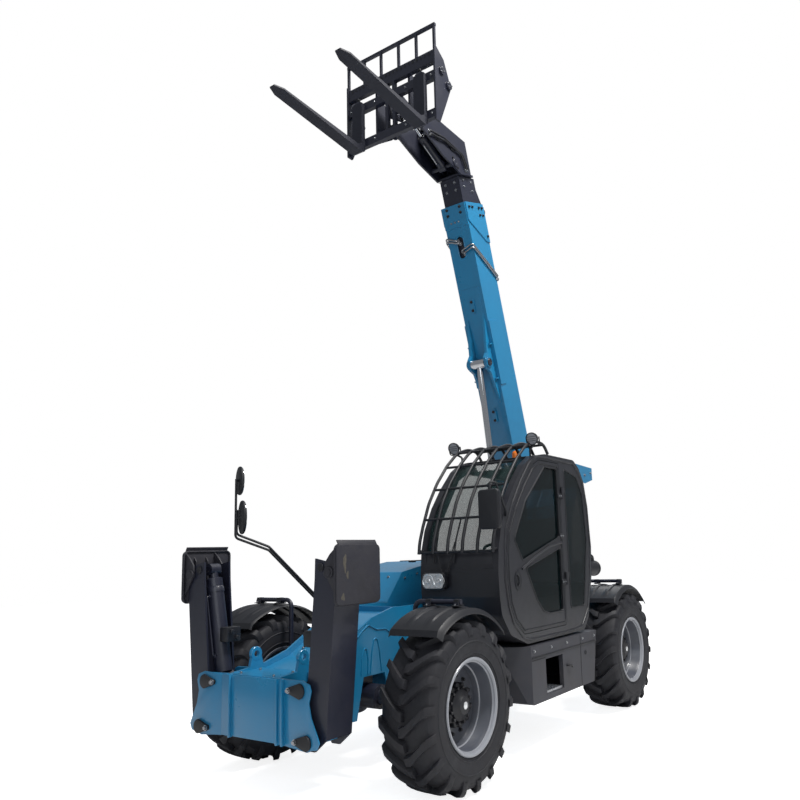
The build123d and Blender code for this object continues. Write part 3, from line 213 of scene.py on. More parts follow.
def finish_of(name, colour, other, gloss, dust=0.35, scale=3.0, grain=220.0, height=1.2, bump=0.08,
              metal=0.0,
              coat=0.0, distance=0.004, dust_colour=DUST):
    """A material: two close tones in patches, dust over them, a varying gloss and a fine bump."""
    made = bpy.data.materials.new(name)
    made.use_nodes = True
    tree = made.node_tree
    skin = tree.nodes["Principled BSDF"]
    worn = add_node(tree, "ShaderNodeGroup", node_tree=wear,
                    inputs={"Scale": scale, "Dust Height": height, "Dust": dust, "Grain": grain})
    tone = add_node(tree, "ShaderNodeMix", data_type="RGBA", inputs={"A": srgb(*colour), "B": srgb(*other)})
    dusted = add_node(tree, "ShaderNodeMix", data_type="RGBA", inputs={"B": srgb(*dust_colour)})
    shine = add_node(tree, "ShaderNodeMapRange",
                     inputs={"From Min": 0.3, "From Max": 0.7, "To Min": gloss[0], "To Max": gloss[1]})
    matt = add_node(tree, "ShaderNodeMix", data_type="FLOAT", inputs={"B": 0.85})
    relief = add_node(tree, "ShaderNodeBump", inputs={"Strength": bump, "Distance": distance})
    join_nodes(tree, (
        (worn, "Patches", tone, "Factor"), (tone, "Result", dusted, "A"),
        (worn, "Dust Mask", dusted, "Factor"),
        (dusted, "Result", skin, "Base Color"), (worn, "Patches", shine, "Value"), (shine, 0, matt, "A"),
        (worn, "Dust Mask", matt, "Factor"), (matt, "Result", skin, "Roughness"),
        (worn, "Height", relief, "Height"), (relief, 0, skin, "Normal")))
    for socket, value in (("Metallic", metal), ("Coat Weight", coat), ("Coat Roughness", 0.12)):
        skin.inputs[socket].default_value = value
    return made


blue_paint = finish_of("blue_paint", (26, 126, 172), (20, 114, 160), (0.26, 0.42), dust=0.12, coat=0.5)
dark_paint = finish_of("dark_paint", (29, 32, 49), (23, 26, 41), (0.36, 0.52), dust=0.07, coat=0.2)
fork_paint = finish_of("fork_paint", (24, 27, 42), (19, 22, 35), (0.5, 0.66), dust=0.02, bump=0.02)
sole_paint = finish_of("sole_paint", (42, 42, 50), (36, 36, 44), (0.45, 0.7), dust=0.1, scale=13.0,
                       height=1.9,
                       dust_colour=(122, 112, 88))
scuff = finish_of("scuff_marks", (92, 87, 74), (58, 56, 56), (0.6, 0.8), dust=0.0, scale=40.0)
cab_paint = finish_of("cab_paint", (33, 34, 41), (27, 28, 34), (0.34, 0.5), dust=0.07, coat=0.25)
skirt_plastic = finish_of("skirt_plastic", (54, 55, 63), (45, 46, 54), (0.46, 0.62), dust=0.14)
black_plastic = finish_of("black_plastic", (25, 27, 34), (19, 21, 27), (0.42, 0.58), dust=0.08, grain=900.0,
                          bump=0.15, distance=0.0008)
rubber = finish_of("tyre_rubber", (27, 28, 36), (19, 20, 26), (0.55, 0.8), dust=0.16, scale=7.0, grain=500.0,
                   height=1.4, bump=0.3, distance=0.003, dust_colour=(96, 92, 92))
rim_paint = finish_of("rim_silver", (150, 153, 160), (134, 137, 145), (0.3, 0.45), dust=0.12, coat=0.3)
barrel_paint = finish_of("barrel_grey", (78, 82, 92), (66, 70, 80), (0.32, 0.5), dust=0.15, coat=0.3)
cast_grey = finish_of("hub_paint", (24, 25, 32), (18, 19, 25), (0.42, 0.6), dust=0.1)
steel = finish_of("plated_steel", (176, 178, 182), (150, 152, 156), (0.22, 0.36), dust=0.1, metal=1.0)
chrome = finish_of("hard_chrome", (214, 216, 220), (205, 206, 210), (0.06, 0.12), dust=0.0, metal=1.0,
                   bump=0.01)
bowl = finish_of("lamp_bowl", (238, 240, 242), (226, 228, 230), (0.2, 0.3), dust=0.0, metal=0.55, bump=0.01)
vinyl = finish_of("seat_vinyl", (44, 44, 48), (34, 34, 38), (0.5, 0.65), dust=0.1, grain=700.0, bump=0.2,
                  distance=0.0015)


def clear_finish(name, colour, alpha, roughness, ior=1.5):
    """Tinted glass or a clear lens: a glossy see-through skin."""
    made = bpy.data.materials.new(name)
    made.use_nodes = True
    skin = made.node_tree.nodes["Principled BSDF"]
    for socket, value in (("Base Color", srgb(*colour)), ("Alpha", alpha), ("Roughness", roughness),
                          ("IOR", ior)):
        skin.inputs[socket].default_value = value
    return made


glass = clear_finish("tinted_glass", (46, 66, 66), 0.34, 0.03, 1.4)
dark_glass = clear_finish("dark_glass", (10, 20, 22), 0.8, 0.04, 1.33)
lens = clear_finish("clear_lens", (200, 206, 210), 0.08, 0.04)
amber = clear_finish("amber_lens", (232, 120, 24), 0.92, 0.18)

FINISHES = {
    blue_paint: ["main_frame", "boom_tower", "power_pack_hood", "boom_outer"],
    fork_paint: ["forks"],
    dark_paint: ["counterweight", "boom_mid", "boom_head", "carriage", "front_axle", "rear_axle",
                 "lift_cylinder", "tilt_cylinder", "roof_guard"]
    + [f"stabilizer_{part}_{side}" for part in ("leg", "cylinder") for side in ("left", "right")]
    + [f"knuckle_{wheel}" for wheel in ("fl", "fr", "rl", "rr")],
    sole_paint: ["stabilizer_pad_left", "stabilizer_pad_right"],
    cab_paint: ["cab_shell", "door", "battery_block"],
    skirt_plastic: ["side_skirt"],
    glass: ["cab_glass"],
    dark_glass: ["door_glass"],
    chrome: ["lift_rod", "tilt_rod", "stabilizer_rod_left", "stabilizer_rod_right"],
    steel: ["boom_pipes"],
    rubber: [f"tyre_{wheel}" for wheel in ("fl", "fr", "rl", "rr")],
    rim_paint: [f"rim_{wheel}" for wheel in ("fl", "fr", "rl", "rr")],
    black_plastic: ["mirrors", "steering_console", "lamps"] + [f"fender_{wheel}"
                                                               for wheel in ("fl", "fr", "rl", "rr")],
    vinyl: ["seat"],
    amber: ["beacon"],
}
# the record's slot for a finish, where a piece names no other
SLOT_OF = {black_plastic: "black_plastic", dark_paint: "dark_paint", blue_paint: "blue_paint",
           cab_paint: "cab_paint", amber: "amber_lens"}
for material, names in FINISHES.items():
    for name in names:
        node = frame["nodes"][name]
        for index in range(len(node.material_slots)):
            node.material_slots[index].material = material

# %% [markdown]
# The rest of the script adds pieces. Blender's operators act on whatever is selected, so each helper
# starts from an empty selection. A plate is cut to its outline and thickened, a bar is a curve given a
# round section, and a turned piece is a profile spun about its axle, as on a lathe.
# %% Helpers
def take(obj):
    """Select one object alone and make it the active one."""
    for other in bpy.context.selected_objects:
        other.select_set(False)
    bpy.context.view_layer.objects.active = obj
    obj.select_set(True)


def fit_modifier(obj, kind, **settings):
    """Add a modifier and apply it at once."""
    take(obj)
    modifier = obj.modifiers.new(kind.lower(), kind)
    for key, value in settings.items():
        setattr(modifier, key, value)
    bpy.ops.object.modifier_apply(modifier=modifier.name)


def close_up(obj, distance=0.00005):
    """Merge doubled points and turn every face outwards."""
    take(obj)
    bpy.ops.object.mode_set(mode="EDIT")
    bpy.ops.mesh.select_all(action="SELECT")
    bpy.ops.mesh.remove_doubles(threshold=distance)
    bpy.ops.mesh.normals_make_consistent(inside=False)
    bpy.ops.object.mode_set(mode="OBJECT")


def cut_plate(outline, origin, across, up, thickness, bevel=0.0):
    """A plate: a filled circle whose points are moved to the outline, extruded and bevelled."""
    bpy.ops.mesh.primitive_circle_add(vertices=len(outline), fill_type="NGON")
    obj = bpy.context.object
    u, v = Vector(across).normalized(), Vector(up).normalized()
    for point, (a, b) in zip(obj.data.vertices, outline):
        point.co = Vector(origin) + a * u + b * v
    take(obj)
    bpy.ops.object.mode_set(mode="EDIT")
    bpy.ops.mesh.select_all(action="SELECT")
    bpy.ops.mesh.extrude_region_move(TRANSFORM_OT_translate={"value": u.cross(v) * thickness})
    bpy.ops.object.mode_set(mode="OBJECT")
    close_up(obj)
    if bevel:
        fit_modifier(obj, "BEVEL", width=bevel, segments=2, limit_method="ANGLE", angle_limit=0.6)
    return obj


def side_plate(outline, x, thickness, bevel=0.0):
    """A plate on a plane of constant x: its outline is given behind the front axle, and up."""
    return cut_plate(outline, (x, FRONT, 0), Y, Z, thickness, bevel)


def turned(profile, centre, axis, steps=48):
    """A turned piece: a profile of (distance along the axis, radius) spun about it."""
    axis = Vector(axis).normalized()
    side = axis.orthogonal().normalized()
    mesh = bpy.data.meshes.new("turned")
    mesh.from_pydata([Vector(centre) + a * axis + r * side for a, r in profile],
                     [(i, i + 1) for i in range(len(profile) - 1)], [])
    obj = bpy.data.objects.new("turned", mesh)
    bpy.context.scene.collection.objects.link(obj)
    take(obj)
    bpy.ops.object.mode_set(mode="EDIT")
    bpy.ops.mesh.select_all(action="SELECT")
    bpy.ops.mesh.spin(steps=steps, angle=2 * math.pi, center=centre, axis=axis)
    bpy.ops.object.mode_set(mode="OBJECT")
    close_up(obj)
    return obj


def bent_bar(points, bend, radius, resolution=4):
    """A round bar: straight runs joined by arcs, given a round section and made a mesh."""
    route = [Vector(points[0])]
    for before, corner, after in zip(points, points[1:], points[2:]):
        before, corner, after = Vector(before), Vector(corner), Vector(after)
        to_before, to_after = (before - corner), (after - corner)
        half = to_before.angle(to_after) / 2
        reach = min(bend / math.tan(half), to_before.length * 0.48, to_after.length * 0.48)
        start, end = corner + to_before.normalized() * reach, corner + to_after.normalized() * reach
        for step in range(7):
            t = step / 6
            route.append((1 - t) ** 2 * start + 2 * t * (1 - t) * corner + t * t * end)
    route.append(Vector(points[-1]))
    curve = bpy.data.curves.new("bar", "CURVE")
    curve.dimensions = "3D"
    spline = curve.splines.new("POLY")
    spline.points.add(len(route) - 1)
    for point, place in zip(spline.points, route):
        point.co = (*place, 1)
    curve.bevel_depth = radius
    curve.bevel_resolution = resolution
    curve.use_fill_caps = True
    obj = bpy.data.objects.new("bar", curve)
    bpy.context.scene.collection.objects.link(obj)
    take(obj)
    bpy.ops.object.convert(target="MESH")
    return bpy.context.object


def joined(pieces):
    """Several objects as one."""
    take(pieces[0])
    for piece in pieces[1:]:
        piece.select_set(True)
    bpy.ops.object.join()
    return bpy.context.object


def copy_of(obj, matrix):
    """A copy with its own mesh, moved by a matrix; a mirrored one is turned the right way out again."""
    other = obj.copy()
    other.data = obj.data.copy()
    other.data.transform(matrix)
    if matrix.determinant() < 0:
        other.data.flip_normals()
    bpy.context.scene.collection.objects.link(other)
    return other


def fitted(obj, name, material=black_plastic, body="chassis", slot=None, angle=0.6):
    """Name a piece, or several joined, finish and shade it, and fix it to the body that carries it."""
    if isinstance(obj, list):
        obj = joined(obj)
    slot = slot or SLOT_OF[material]
    obj.name = name
    obj.data.name = name
    obj.data.materials.clear()
    obj.data.materials.append(material)
    take(obj)
    bpy.ops.object.shade_smooth_by_angle(angle=angle)
    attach(obj, body)
    obj.select_set(False)
    return obj


def gone(obj):
    """Throw away a pattern that has been copied."""
    bpy.data.objects.remove(obj, do_unlink=True)


def rounded_box(width, height, radius, steps=4):
    """The outline of a rectangle with rounded corners, about its middle."""
    points = []
    for cx, cy, start in ((1, 1, 0), (-1, 1, 90), (-1, -1, 180), (1, -1, 270)):
        for step in range(steps + 1):
            angle = math.radians(start + 90 * step / steps)
            points.append((cx * (width / 2 - radius) + radius * math.cos(angle),
                           cy * (height / 2 - radius) + radius * math.sin(angle)))
    return points


# %% [markdown]
# A hex bolt with its washer turns up all over a machine. It is modelled once, a six-sided cylinder with
# its edges broken and a flat disc under it, and copied to each place with its own mesh.
# %% Bolts
def bolt_pattern(radius, height):
    """A hex head on a washer, standing on the origin along +Z."""
    bpy.ops.mesh.primitive_cylinder_add(vertices=6, radius=radius, depth=height,
                                        location=(0, 0, height * 0.65))
    hexagon = bpy.context.object
    take(hexagon)
    bpy.ops.object.transform_apply()
    fit_modifier(hexagon, "BEVEL", width=radius * 0.14, segments=1, limit_method="ANGLE", angle_limit=0.6)
    bpy.ops.mesh.primitive_cylinder_add(vertices=16, radius=radius * 1.35, depth=height * 0.4,
                                        location=(0, 0, 0))
    washer = bpy.context.object
    take(washer)
    bpy.ops.object.transform_apply()
    return joined([hexagon, washer])


def bolts_at(places, radius, height, name, material=steel, body="chassis", slot="steel_pipe"):
    """Copies of the bolt at (point, direction) places, joined into one piece."""
    pattern = bolt_pattern(radius, height)
    copies = []
    for index, (point, direction) in enumerate(places):
        turn = Vector(direction).to_track_quat("Z", "Y").to_matrix().to_4x4()
        spin = Matrix.Rotation(0.7 * index, 4, "Z")
        copies.append(copy_of(pattern, Matrix.Translation(point) @ turn @ spin))
    gone(pattern)
    return fitted(copies, name, material, body, slot)


# %% [markdown]
# The tyre is the machine's most telling piece. Its casing is a lathe profile with a bead, a bulging wall
# and a low crown. A lug is a strip of sections that runs from the tread's middle to its shoulder: at each
# section the strip has a foot on each side and a flat top, and its place round the tyre shifts, so that
# it sweeps. One lug is copied round each side, half a pitch apart.
# %% Tyres
WHEELS = {"fl": (1, 0.0), "fr": (-1, 0.0), "rl": (1, WHEELBASE), "rr": (-1, WHEELBASE)}
LUGS = 18


def wheel_place(side, distance):
    """The matrix that puts a wheel's pattern in its place, mirrored on the right."""
    return Matrix.Translation((side * HALF_TRACK, behind(distance), AXLE_Z)) @ Matrix.Diagonal((side, 1, 1,
                                                                                                1))


casing_profile = [
    (-0.186, 0.324), (-0.2, 0.345), (-0.207, 0.37), (-0.2145, 0.373), (-0.2145, 0.377), (-0.2125, 0.38),
    (-0.219, 0.42), (-0.2195, 0.455),
    (-0.2235, 0.459), (-0.2235, 0.464), (-0.2195, 0.468), (-0.217, 0.5), (-0.21, 0.532), (-0.195, 0.553),
    (-0.165, 0.566), (-0.1, 0.572), (0, 0.5745),
]
casing_profile += [(-x, r) for x, r in reversed(casing_profile[:-1])]
casing = turned(casing_profile, (0, 0, 0), X, steps=72)

# each row: across, foot radius, top radius, shift round the tyre, half width
LUG_ROWS = (
    (-0.016, 0.566, 0.566, -0.082, 0.03), (-0.014, 0.566, 0.6165, -0.082, 0.03),
    (0.02, 0.566, 0.6165, -0.076, 0.033),
    (0.055, 0.566, 0.616, -0.052, 0.03), (0.095, 0.562, 0.6145, -0.016, 0.027),
    (0.135, 0.556, 0.612, 0.02, 0.0265),
    (0.17, 0.548, 0.607, 0.05, 0.028), (0.196, 0.53, 0.5975, 0.068, 0.029),
    (0.2135, 0.512, 0.577, 0.076, 0.029),
    (0.2225, 0.5, 0.545, 0.08, 0.027), (0.2235, 0.492, 0.507, 0.081, 0.025),
)
bpy.ops.mesh.primitive_grid_add(x_subdivisions=len(LUG_ROWS) - 1, y_subdivisions=3, size=2)
lug = bpy.context.object
columns = len(LUG_ROWS)
for index, point in enumerate(lug.data.vertices):
    across, foot, top, shift, half = LUG_ROWS[index % columns]
    side, rise = ((-1, 0), (-1, 1), (1, 1), (1, 0))[index // columns]
    radius = top if rise else foot
    spread = half if rise else half + 0.008
    angle = (shift + side * spread) / 0.6
    point.co = (across, -radius * math.cos(angle), radius * math.sin(angle))
close_up(lug)
fit_modifier(lug, "BEVEL", width=0.0045, segments=2, limit_method="ANGLE", angle_limit=0.7)
lugs = []
for step in range(LUGS):
    turn = Matrix.Rotation(2 * math.pi * step / LUGS, 4, "X")
    half_turn = Matrix.Rotation(2 * math.pi * (step + 0.5) / LUGS, 4, "X")
    lugs.append(copy_of(lug, turn))
    lugs.append(copy_of(lug, half_turn @ Matrix.Diagonal((-1, 1, 1, 1))))
gone(lug)
tyre = joined([casing] + lugs)
print("faces in one tyre", len(tyre.data.polygons))
for wheel, (side, distance) in WHEELS.items():
    place = wheel_place(side, distance)
    piece = fitted(copy_of(tyre, place), f"lugged_tyre_{wheel}", rubber, f"wheel_{wheel}", "tyre_rubber",
                   0.42)
    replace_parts(piece, f"tyre_{wheel}")
gone(tyre)

# %% [markdown]
# The rim is pressed steel: a rolled flange, a stepped barrel and a disc set deep inside. The hub that
# fills its middle is a casting with lobes for its bolts, painted darker than the rim.
# %% Rims and hubs
rim_profile = [
    (0.202, 0.322), (0.209, 0.333), (0.209, 0.342), (0.203, 0.346), (0.196, 0.34), (0.194, 0.327),
    (0.16, 0.322),
    (0.1, 0.312), (-0.1, 0.312), (-0.16, 0.322), (-0.194, 0.327), (-0.203, 0.34), (-0.209, 0.336),
    (-0.202, 0.318),
    (-0.15, 0.306), (-0.02, 0.298), (0.012, 0.29), (0.02, 0.262), (0.024, 0.18), (0.024, 0.12),
    (0.034, 0.12), (0.034, 0.18), (0.03, 0.262), (0.024, 0.284), (0.07, 0.293), (0.082, 0.302),
    (0.15, 0.306),
    (0.166, 0.314), (0.202, 0.322),
]
rim = turned(rim_profile, (0, 0, 0), X, steps=64)
lobes = []
for step in range(72):
    angle = 2 * math.pi * step / 72
    radius = 0.152 + 0.012 * math.tanh(3 * math.sin(12 * angle))
    lobes.append((radius * math.cos(angle), radius * math.sin(angle)))
hub_parts = [cut_plate(lobes, (0.0, 0, 0), Y, Z, 0.085, 0.006)]
hub_parts.append(turned([(0.08, 0.0), (0.138, 0.0), (0.14, 0.03), (0.134, 0.062), (0.118, 0.078),
                         (0.1, 0.112),
                         (0.08, 0.118)], (0, 0, 0), X, 40))
hub = joined(hub_parts)
# thin rings laid just over the rim's rolled flange and the step in its barrel, light silver against the grey
# rim: a painted highlight where light catches those edges
rim_highlight_rings = joined([
    turned([(0.178, 0.3115), (0.181, 0.307), (0.187, 0.309), (0.189, 0.3155), (0.2035, 0.3185),
            (0.2115, 0.329),
            (0.2115, 0.341), (0.204, 0.346), (0.198, 0.342), (0.199, 0.327), (0.178, 0.3115)], (0, 0, 0), X,
            64),
    turned([(0.07, 0.2925), (0.073, 0.2895), (0.079, 0.2985), (0.076, 0.3015), (0.07, 0.2925)], (0, 0, 0), X,
           64)])
centre_cap = turned([(0.136, 0.0), (0.136, 0.027), (0.1425, 0.027), (0.146, 0.022), (0.147, 0.0)], (0, 0, 0),
                    X, 24)
for wheel, (side, distance) in WHEELS.items():
    place = wheel_place(side, distance)
    piece = fitted(copy_of(rim, place), f"pressed_rim_{wheel}", barrel_paint, f"wheel_{wheel}", "rim_silver")
    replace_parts(piece, f"rim_{wheel}")
    fitted(copy_of(rim_highlight_rings, place), f"rim_edge_highlight_{wheel}", rim_paint, f"wheel_{wheel}", "rim_silver")
    fitted(copy_of(centre_cap, place), f"hub_centre_{wheel}", bowl, f"wheel_{wheel}", "rim_silver")
    fitted(copy_of(hub, place), f"hub_{wheel}", cast_grey, f"wheel_{wheel}", "rim_silver")
    ring = []
    for step in range(12):
        angle = math.pi * (step + 0.5) / 6
        ring.append(((side * (HALF_TRACK + 0.085), behind(distance) + 0.128 * math.cos(angle),
                      AXLE_Z + 0.128 * math.sin(angle)), (side, 0, 0)))
        angle += 0.1
        ring.append(((side * (HALF_TRACK + 0.034), behind(distance) + 0.205 * math.cos(angle),
                      AXLE_Z + 0.205 * math.sin(angle)), (side, 0, 0)))
    bolts_at(ring, 0.0125, 0.018, f"wheel_bolts_{wheel}", cast_grey, f"wheel_{wheel}", "rim_silver")
for pattern in (rim, hub, rim_highlight_rings, centre_cap):
    gone(pattern)

# %% [markdown]
# Each fender is one moulding of plastic: a curved sheet with two raised ribs that fade out before its
# ends, and an outer edge that is turned down to stiffen it. A flat grid is laid out over it point by
# point, then given its thickness.
# %% Fenders
def ramp(value, low, high):
    """0 below low, 1 above high, and a smooth step between."""
    t = min(max((value - low) / (high - low), 0.0), 1.0)
    return t * t * (3 - 2 * t)


def fender_sheet(side, distance):
    """The fender over one wheel, inner edge first."""
    rows, columns = 25, 41
    bpy.ops.mesh.primitive_grid_add(x_subdivisions=columns - 1, y_subdivisions=rows - 1, size=2)
    obj = bpy.context.object
    for index, point in enumerate(obj.data.vertices):
        u = (index % columns) / (columns - 1)
        v = (index // columns) / (rows - 1)
        across = 0.737 + u * 0.472
        angle = math.radians(44 + v * 84)
        ends = ramp(v, 0.05, 0.12) * (1 - ramp(v, 0.84, 0.91))
        rib = max(ramp(u, m - 0.07, m - 0.04) * (1 - ramp(u, m + 0.04, m + 0.07)) for m in (0.3, 0.66))
        radius = 0.7 + 0.012 * rib * ends - 0.042 * ramp(u, 0.93, 1.0) - 0.016 * (1 - ramp(u, 0.0, 0.04))
        radius -= 0.026 * ramp(v, 0.95, 1.0)
        point.co = (side * across, behind(distance) + radius * math.cos(angle),
                    AXLE_Z + radius * math.sin(angle))
    close_up(obj)
    if sum((face.normal.z > 0) - (face.normal.z < 0) for face in obj.data.polygons) < 0:
        obj.data.flip_normals()
    fit_modifier(obj, "SOLIDIFY", thickness=0.006, offset=-1)
    return obj


STRAPS = (0.825, 1.085)  # how far across the fenders are clamped
for wheel, (side, distance) in WHEELS.items():
    sheet = fender_sheet(side, distance)
    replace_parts(fitted(sheet, f"ribbed_fender_{wheel}", black_plastic, f"knuckle_{wheel}", "black_plastic",
                       0.5),
                f"fender_{wheel}")
    straps = []
    for across in STRAPS:
        x, y, z = side * across, behind(distance), AXLE_Z + 0.7125
        outline = [(-0.055, 0.0), (0.055, 0.0), (0.055, 0.006), (0.024, 0.008), (0.024, 0.05),
                   (-0.024, 0.05),
                   (-0.024, 0.008), (-0.055, 0.006)]
        straps.append(cut_plate(outline, (x - 0.024, y, z), Y, Z, 0.048, 0.003))
    fitted(straps, f"fender_clamps_{wheel}", black_plastic, f"knuckle_{wheel}")
    bolts_at([((side * across, behind(distance) + y, AXLE_Z + 0.72), Z)
              for across in STRAPS for y in (-0.04, 0.04)],
             0.008, 0.008, f"fender_bolts_{wheel}", steel, f"knuckle_{wheel}", "black_plastic")

# %% [markdown]
# The guard over the windscreen and roof keeps falling material off the glass. It is six bent bars, tied
# by cross bars. A bent bar is a curve with rounded corners and a round section.
# %% Cab guard
GUARD = ((0.575, 1.728), (0.59, 1.83), (0.645, 1.97), (0.745, 2.18), (0.885, 2.375), (1.06, 2.555),
         (1.25, 2.7),
         (1.46, 2.76), (1.62, 2.745), (1.7, 2.66))
bar_places = [0.3 + i * 0.152 for i in range(6)]
bars = []
for x in bar_places:
    bars.append(bent_bar([(x, behind(y + 0.011), z - 0.006) for y, z in GUARD], 0.4, 0.0145))
for y, z in ((0.578, 1.738), (0.668, 2.03), (0.835, 2.31), (1.04, 2.535), (1.25, 2.695), (1.62, 2.74)):
    bars.append(bent_bar([(bar_places[0], behind(y + 0.014), z - 0.004),
                          (bar_places[-1], behind(y + 0.014), z - 0.004)], 0.1, 0.0115))
for x in (bar_places[0], bar_places[-1]):
    bars.append(bent_bar([(x, behind(0.588), 1.75), (x, behind(0.668), 1.75)], 0.1, 0.0095))
guard = fitted(bars, "bar_guard", black_plastic, "chassis", "dark_paint")
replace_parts(guard, "roof_guard")

# %% [markdown]
# The headlamps are rounded housings with a clear lens over two reflector bowls. The round work lamps
# stand on posts over the roof's front corners, and an orange beacon sits at its back.
# %% Lamps and beacon
def headlamp(x, y, z, width, height, name):
    """A headlamp whose back touches the panel behind it, facing forward."""
    shell = cut_plate(rounded_box(width, height, 0.04), (x, y, z), X, Z, 0.062, 0.012)
    fitted(shell, f"{name}_housing")
    bowls = []
    for shift in (-0.25, 0.25):
        bowls.append(turned([(0.012, 0.0), (0.012, 0.017), (-0.006, 0.019), (-0.002, 0.023), (0.008, 0.04),
                             (-0.0045, 0.055), (0.012, 0.057)], (x + shift * width, y - 0.0632, z), Y, 32))
    bowls.append(cut_plate(rounded_box(width - 0.03, height - 0.03, 0.03), (x, y - 0.0605, z), X, Z,
                           0.003))
    fitted(bowls, f"{name}_reflectors", bowl, "chassis", "black_plastic")
    cover = cut_plate(rounded_box(width - 0.02, height - 0.02, 0.034), (x, y - 0.0625, z), X, Z,
                      0.014, 0.005)
    fitted(cover, f"{name}_lens", lens, slot="black_plastic")


headlamp(0.46, behind(0.6315), 1.49, 0.235, 0.155, "headlamp_left")
headlamp(-0.9, behind(0.8195), 1.3, 0.2, 0.135, "headlamp_right")
LAMP_AIM = (0, -1, -0.35)
roof_lamps = []
for x, foot_x in ((0.225, 0.3), (1.1, 1.06)):
    roof_lamps.append(turned([(0.0, 0.0), (0.0, 0.025), (0.016, 0.05), (0.038, 0.06), (0.056, 0.061),
                              (0.058, 0.055),
                              (0.05, 0.053), (0.05, 0.0)], (x, behind(1.36), 2.77), LAMP_AIM, 32))
    roof_lamps.append(bent_bar([(foot_x, behind(1.345), 2.58), (foot_x, behind(1.345), 2.66),
                                (x, behind(1.345), 2.7)],
                               0.03, 0.01))
    roof_lamps.append(bent_bar([(x - 0.065, behind(1.33), 2.77), (x - 0.065, behind(1.345), 2.695),
                                (x + 0.065, behind(1.345), 2.695), (x + 0.065, behind(1.33), 2.77)], 0.03,
                                0.006))
    for bar in range(4):
        z = 2.732 + bar * 0.02
        roof_lamps.append(bent_bar([(x - 0.048, behind(1.301), z), (x + 0.048, behind(1.301), z)], 0.01,
                                   0.0022, 1))
roof_lamps = fitted(roof_lamps, "work_lamps")
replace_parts(roof_lamps, "lamps")
faces = [turned([(0.0475, 0.0), (0.053, 0.002), (0.0515, 0.052), (0.049, 0.0525)], (x, behind(1.36), 2.77),
                LAMP_AIM, 24) for x in (0.225, 1.1)]
fitted(faces, "work_lamp_glass", rim_paint, "chassis", "black_plastic")

beacon_foot = (0.44, behind(2.205), 2.6403)
beacon_base = turned([(0.0, 0.0), (0.0, 0.052), (0.02, 0.05), (0.024, 0.044), (0.05, 0.043), (0.052, 0.0)],
                     beacon_foot, Z, 32)
fitted(beacon_base, "beacon_base")
dome_profile = [(0.05, 0.0), (0.05, 0.041)]
dome_profile += [(0.05 + step * 0.0075, 0.041 - (0.0012 if step % 2 else 0.0)) for step in range(1, 12)]
dome_profile += [(0.145, 0.036), (0.157, 0.024), (0.163, 0.01), (0.164, 0.0)]
dome = fitted(turned(dome_profile, beacon_foot, Z, 32), "beacon_dome", amber, "chassis",
              "amber_lens")
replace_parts(dome, "beacon")

# %% [markdown]
# The right-hand mirrors stand far out on a pair of bent tubes from the hood, so that the driver sees past
# the boom. The left one is a tall box on an arm from the cab's pillar. Each is a shell with a separate
# mirror.
# %% Mirrors
silver = finish_of("mirror_glass", (196, 202, 206), (188, 194, 198), (0.02, 0.05), dust=0.0, metal=1.0,
                   bump=0.0)
ARM_LOW, ARM_HIGH = (-0.73, behind(0.71), 1.06), (-1.0, behind(0.018), 1.805)
arm = []
for shift in (0.0, 0.032):
    arm.append(bent_bar([(-0.72, behind(0.812), 1.0 + shift), (-0.73, behind(0.71), 1.06 + shift),
                         (-1.0, behind(0.018), 1.805 + shift),
                         (-1.228 + shift / 2, behind(-0.18), 1.925 + shift),
                         (-1.228 + shift / 2, behind(-0.18), 2.47 - 9 * shift)], 0.05, 0.0115))
for share in (0.1, 0.22, 0.34, 0.46, 0.58):
    low = Vector(ARM_LOW).lerp(Vector(ARM_HIGH), share)
    arm.append(bent_bar([tuple(low + Vector((0, 0, -0.008))), tuple(low + Vector((0, 0, 0.04)))], 0.01,
                        0.008, 2))
arm.append(cut_plate(rounded_box(0.09, 0.1, 0.012), (-0.72, behind(0.8197), 1.015), X, Z, 0.012, 0.002))
heads, mirrors = [], []
facing = Vector((0.36, 0.93, 0)).normalized()
for z, half_height, half_width, shift in ((2.455, 0.135, 0.093, -0.01), (2.11, 0.155, 0.093, 0.07)):
    centre = Vector((-1.215 + 0.93 * shift, behind(-0.16 - 0.36 * shift), z))
    outline = [(half_width * math.cos(a), half_height * math.sin(a))
               for a in (2 * math.pi * step / 40 for step in range(40))]
    across = facing.cross(Vector(Z))
    heads.append(cut_plate(outline, centre + facing * 0.0275, across, Z, 0.0285, 0.011))
    mirrors.append(cut_plate([(a * 0.9, b * 0.93) for a, b in outline], centre + facing * 0.0295, across, Z,
                             0.003))
    heads.append(bent_bar([(-1.23, behind(-0.18), z), tuple(centre + facing * 0.008)], 0.02, 0.011))
arm_left = bent_bar([(1.094, behind(0.79), 2.05), (1.094, behind(0.62), 2.3), (1.06, behind(0.575), 2.31),
                     (1.06, behind(0.575), 2.22)], 0.03, 0.0095)
foot_left = cut_plate(rounded_box(0.035, 0.06, 0.008), (CAB_SIDE, behind(0.79), 2.05), Y, Z, 0.02, 0.003)
box_left = cut_plate(rounded_box(0.205, 0.335, 0.035), (1.055, behind(0.6), 2.078), X, Z, 0.055, 0.018)
mirrors.append(cut_plate(rounded_box(0.18, 0.305, 0.026), (1.055, behind(0.602), 2.078), X, Z, 0.003))
mirror_frames = fitted(arm + heads + [arm_left, foot_left, box_left], "mirror_arms")
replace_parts(mirror_frames, "mirrors")
fitted(mirrors, "mirror_faces", silver, "chassis", "black_plastic")

# %% [markdown]
# Rubber seals frame the panes. Each is a thin bar that follows the pane's edge, half sunk in the panel.
# %% Door, panes and cab trim
DOOR_UPPER = ((1.58, 2.515), (1.845, 2.515), (1.845, 1.85), (1.065, 1.64), (0.925, 1.83), (1.16, 2.17))
DOOR_LOWER = ((1.845, 1.75), (1.115, 1.575), (1.3, 1.29), (1.42, 1.18), (1.545, 1.15), (1.845, 1.15))
QUARTER = ((2.01, 2.53), (2.3, 2.47), (2.43, 2.3), (2.48, 1.81), (2.33, 1.16), (2.01, 1.16))


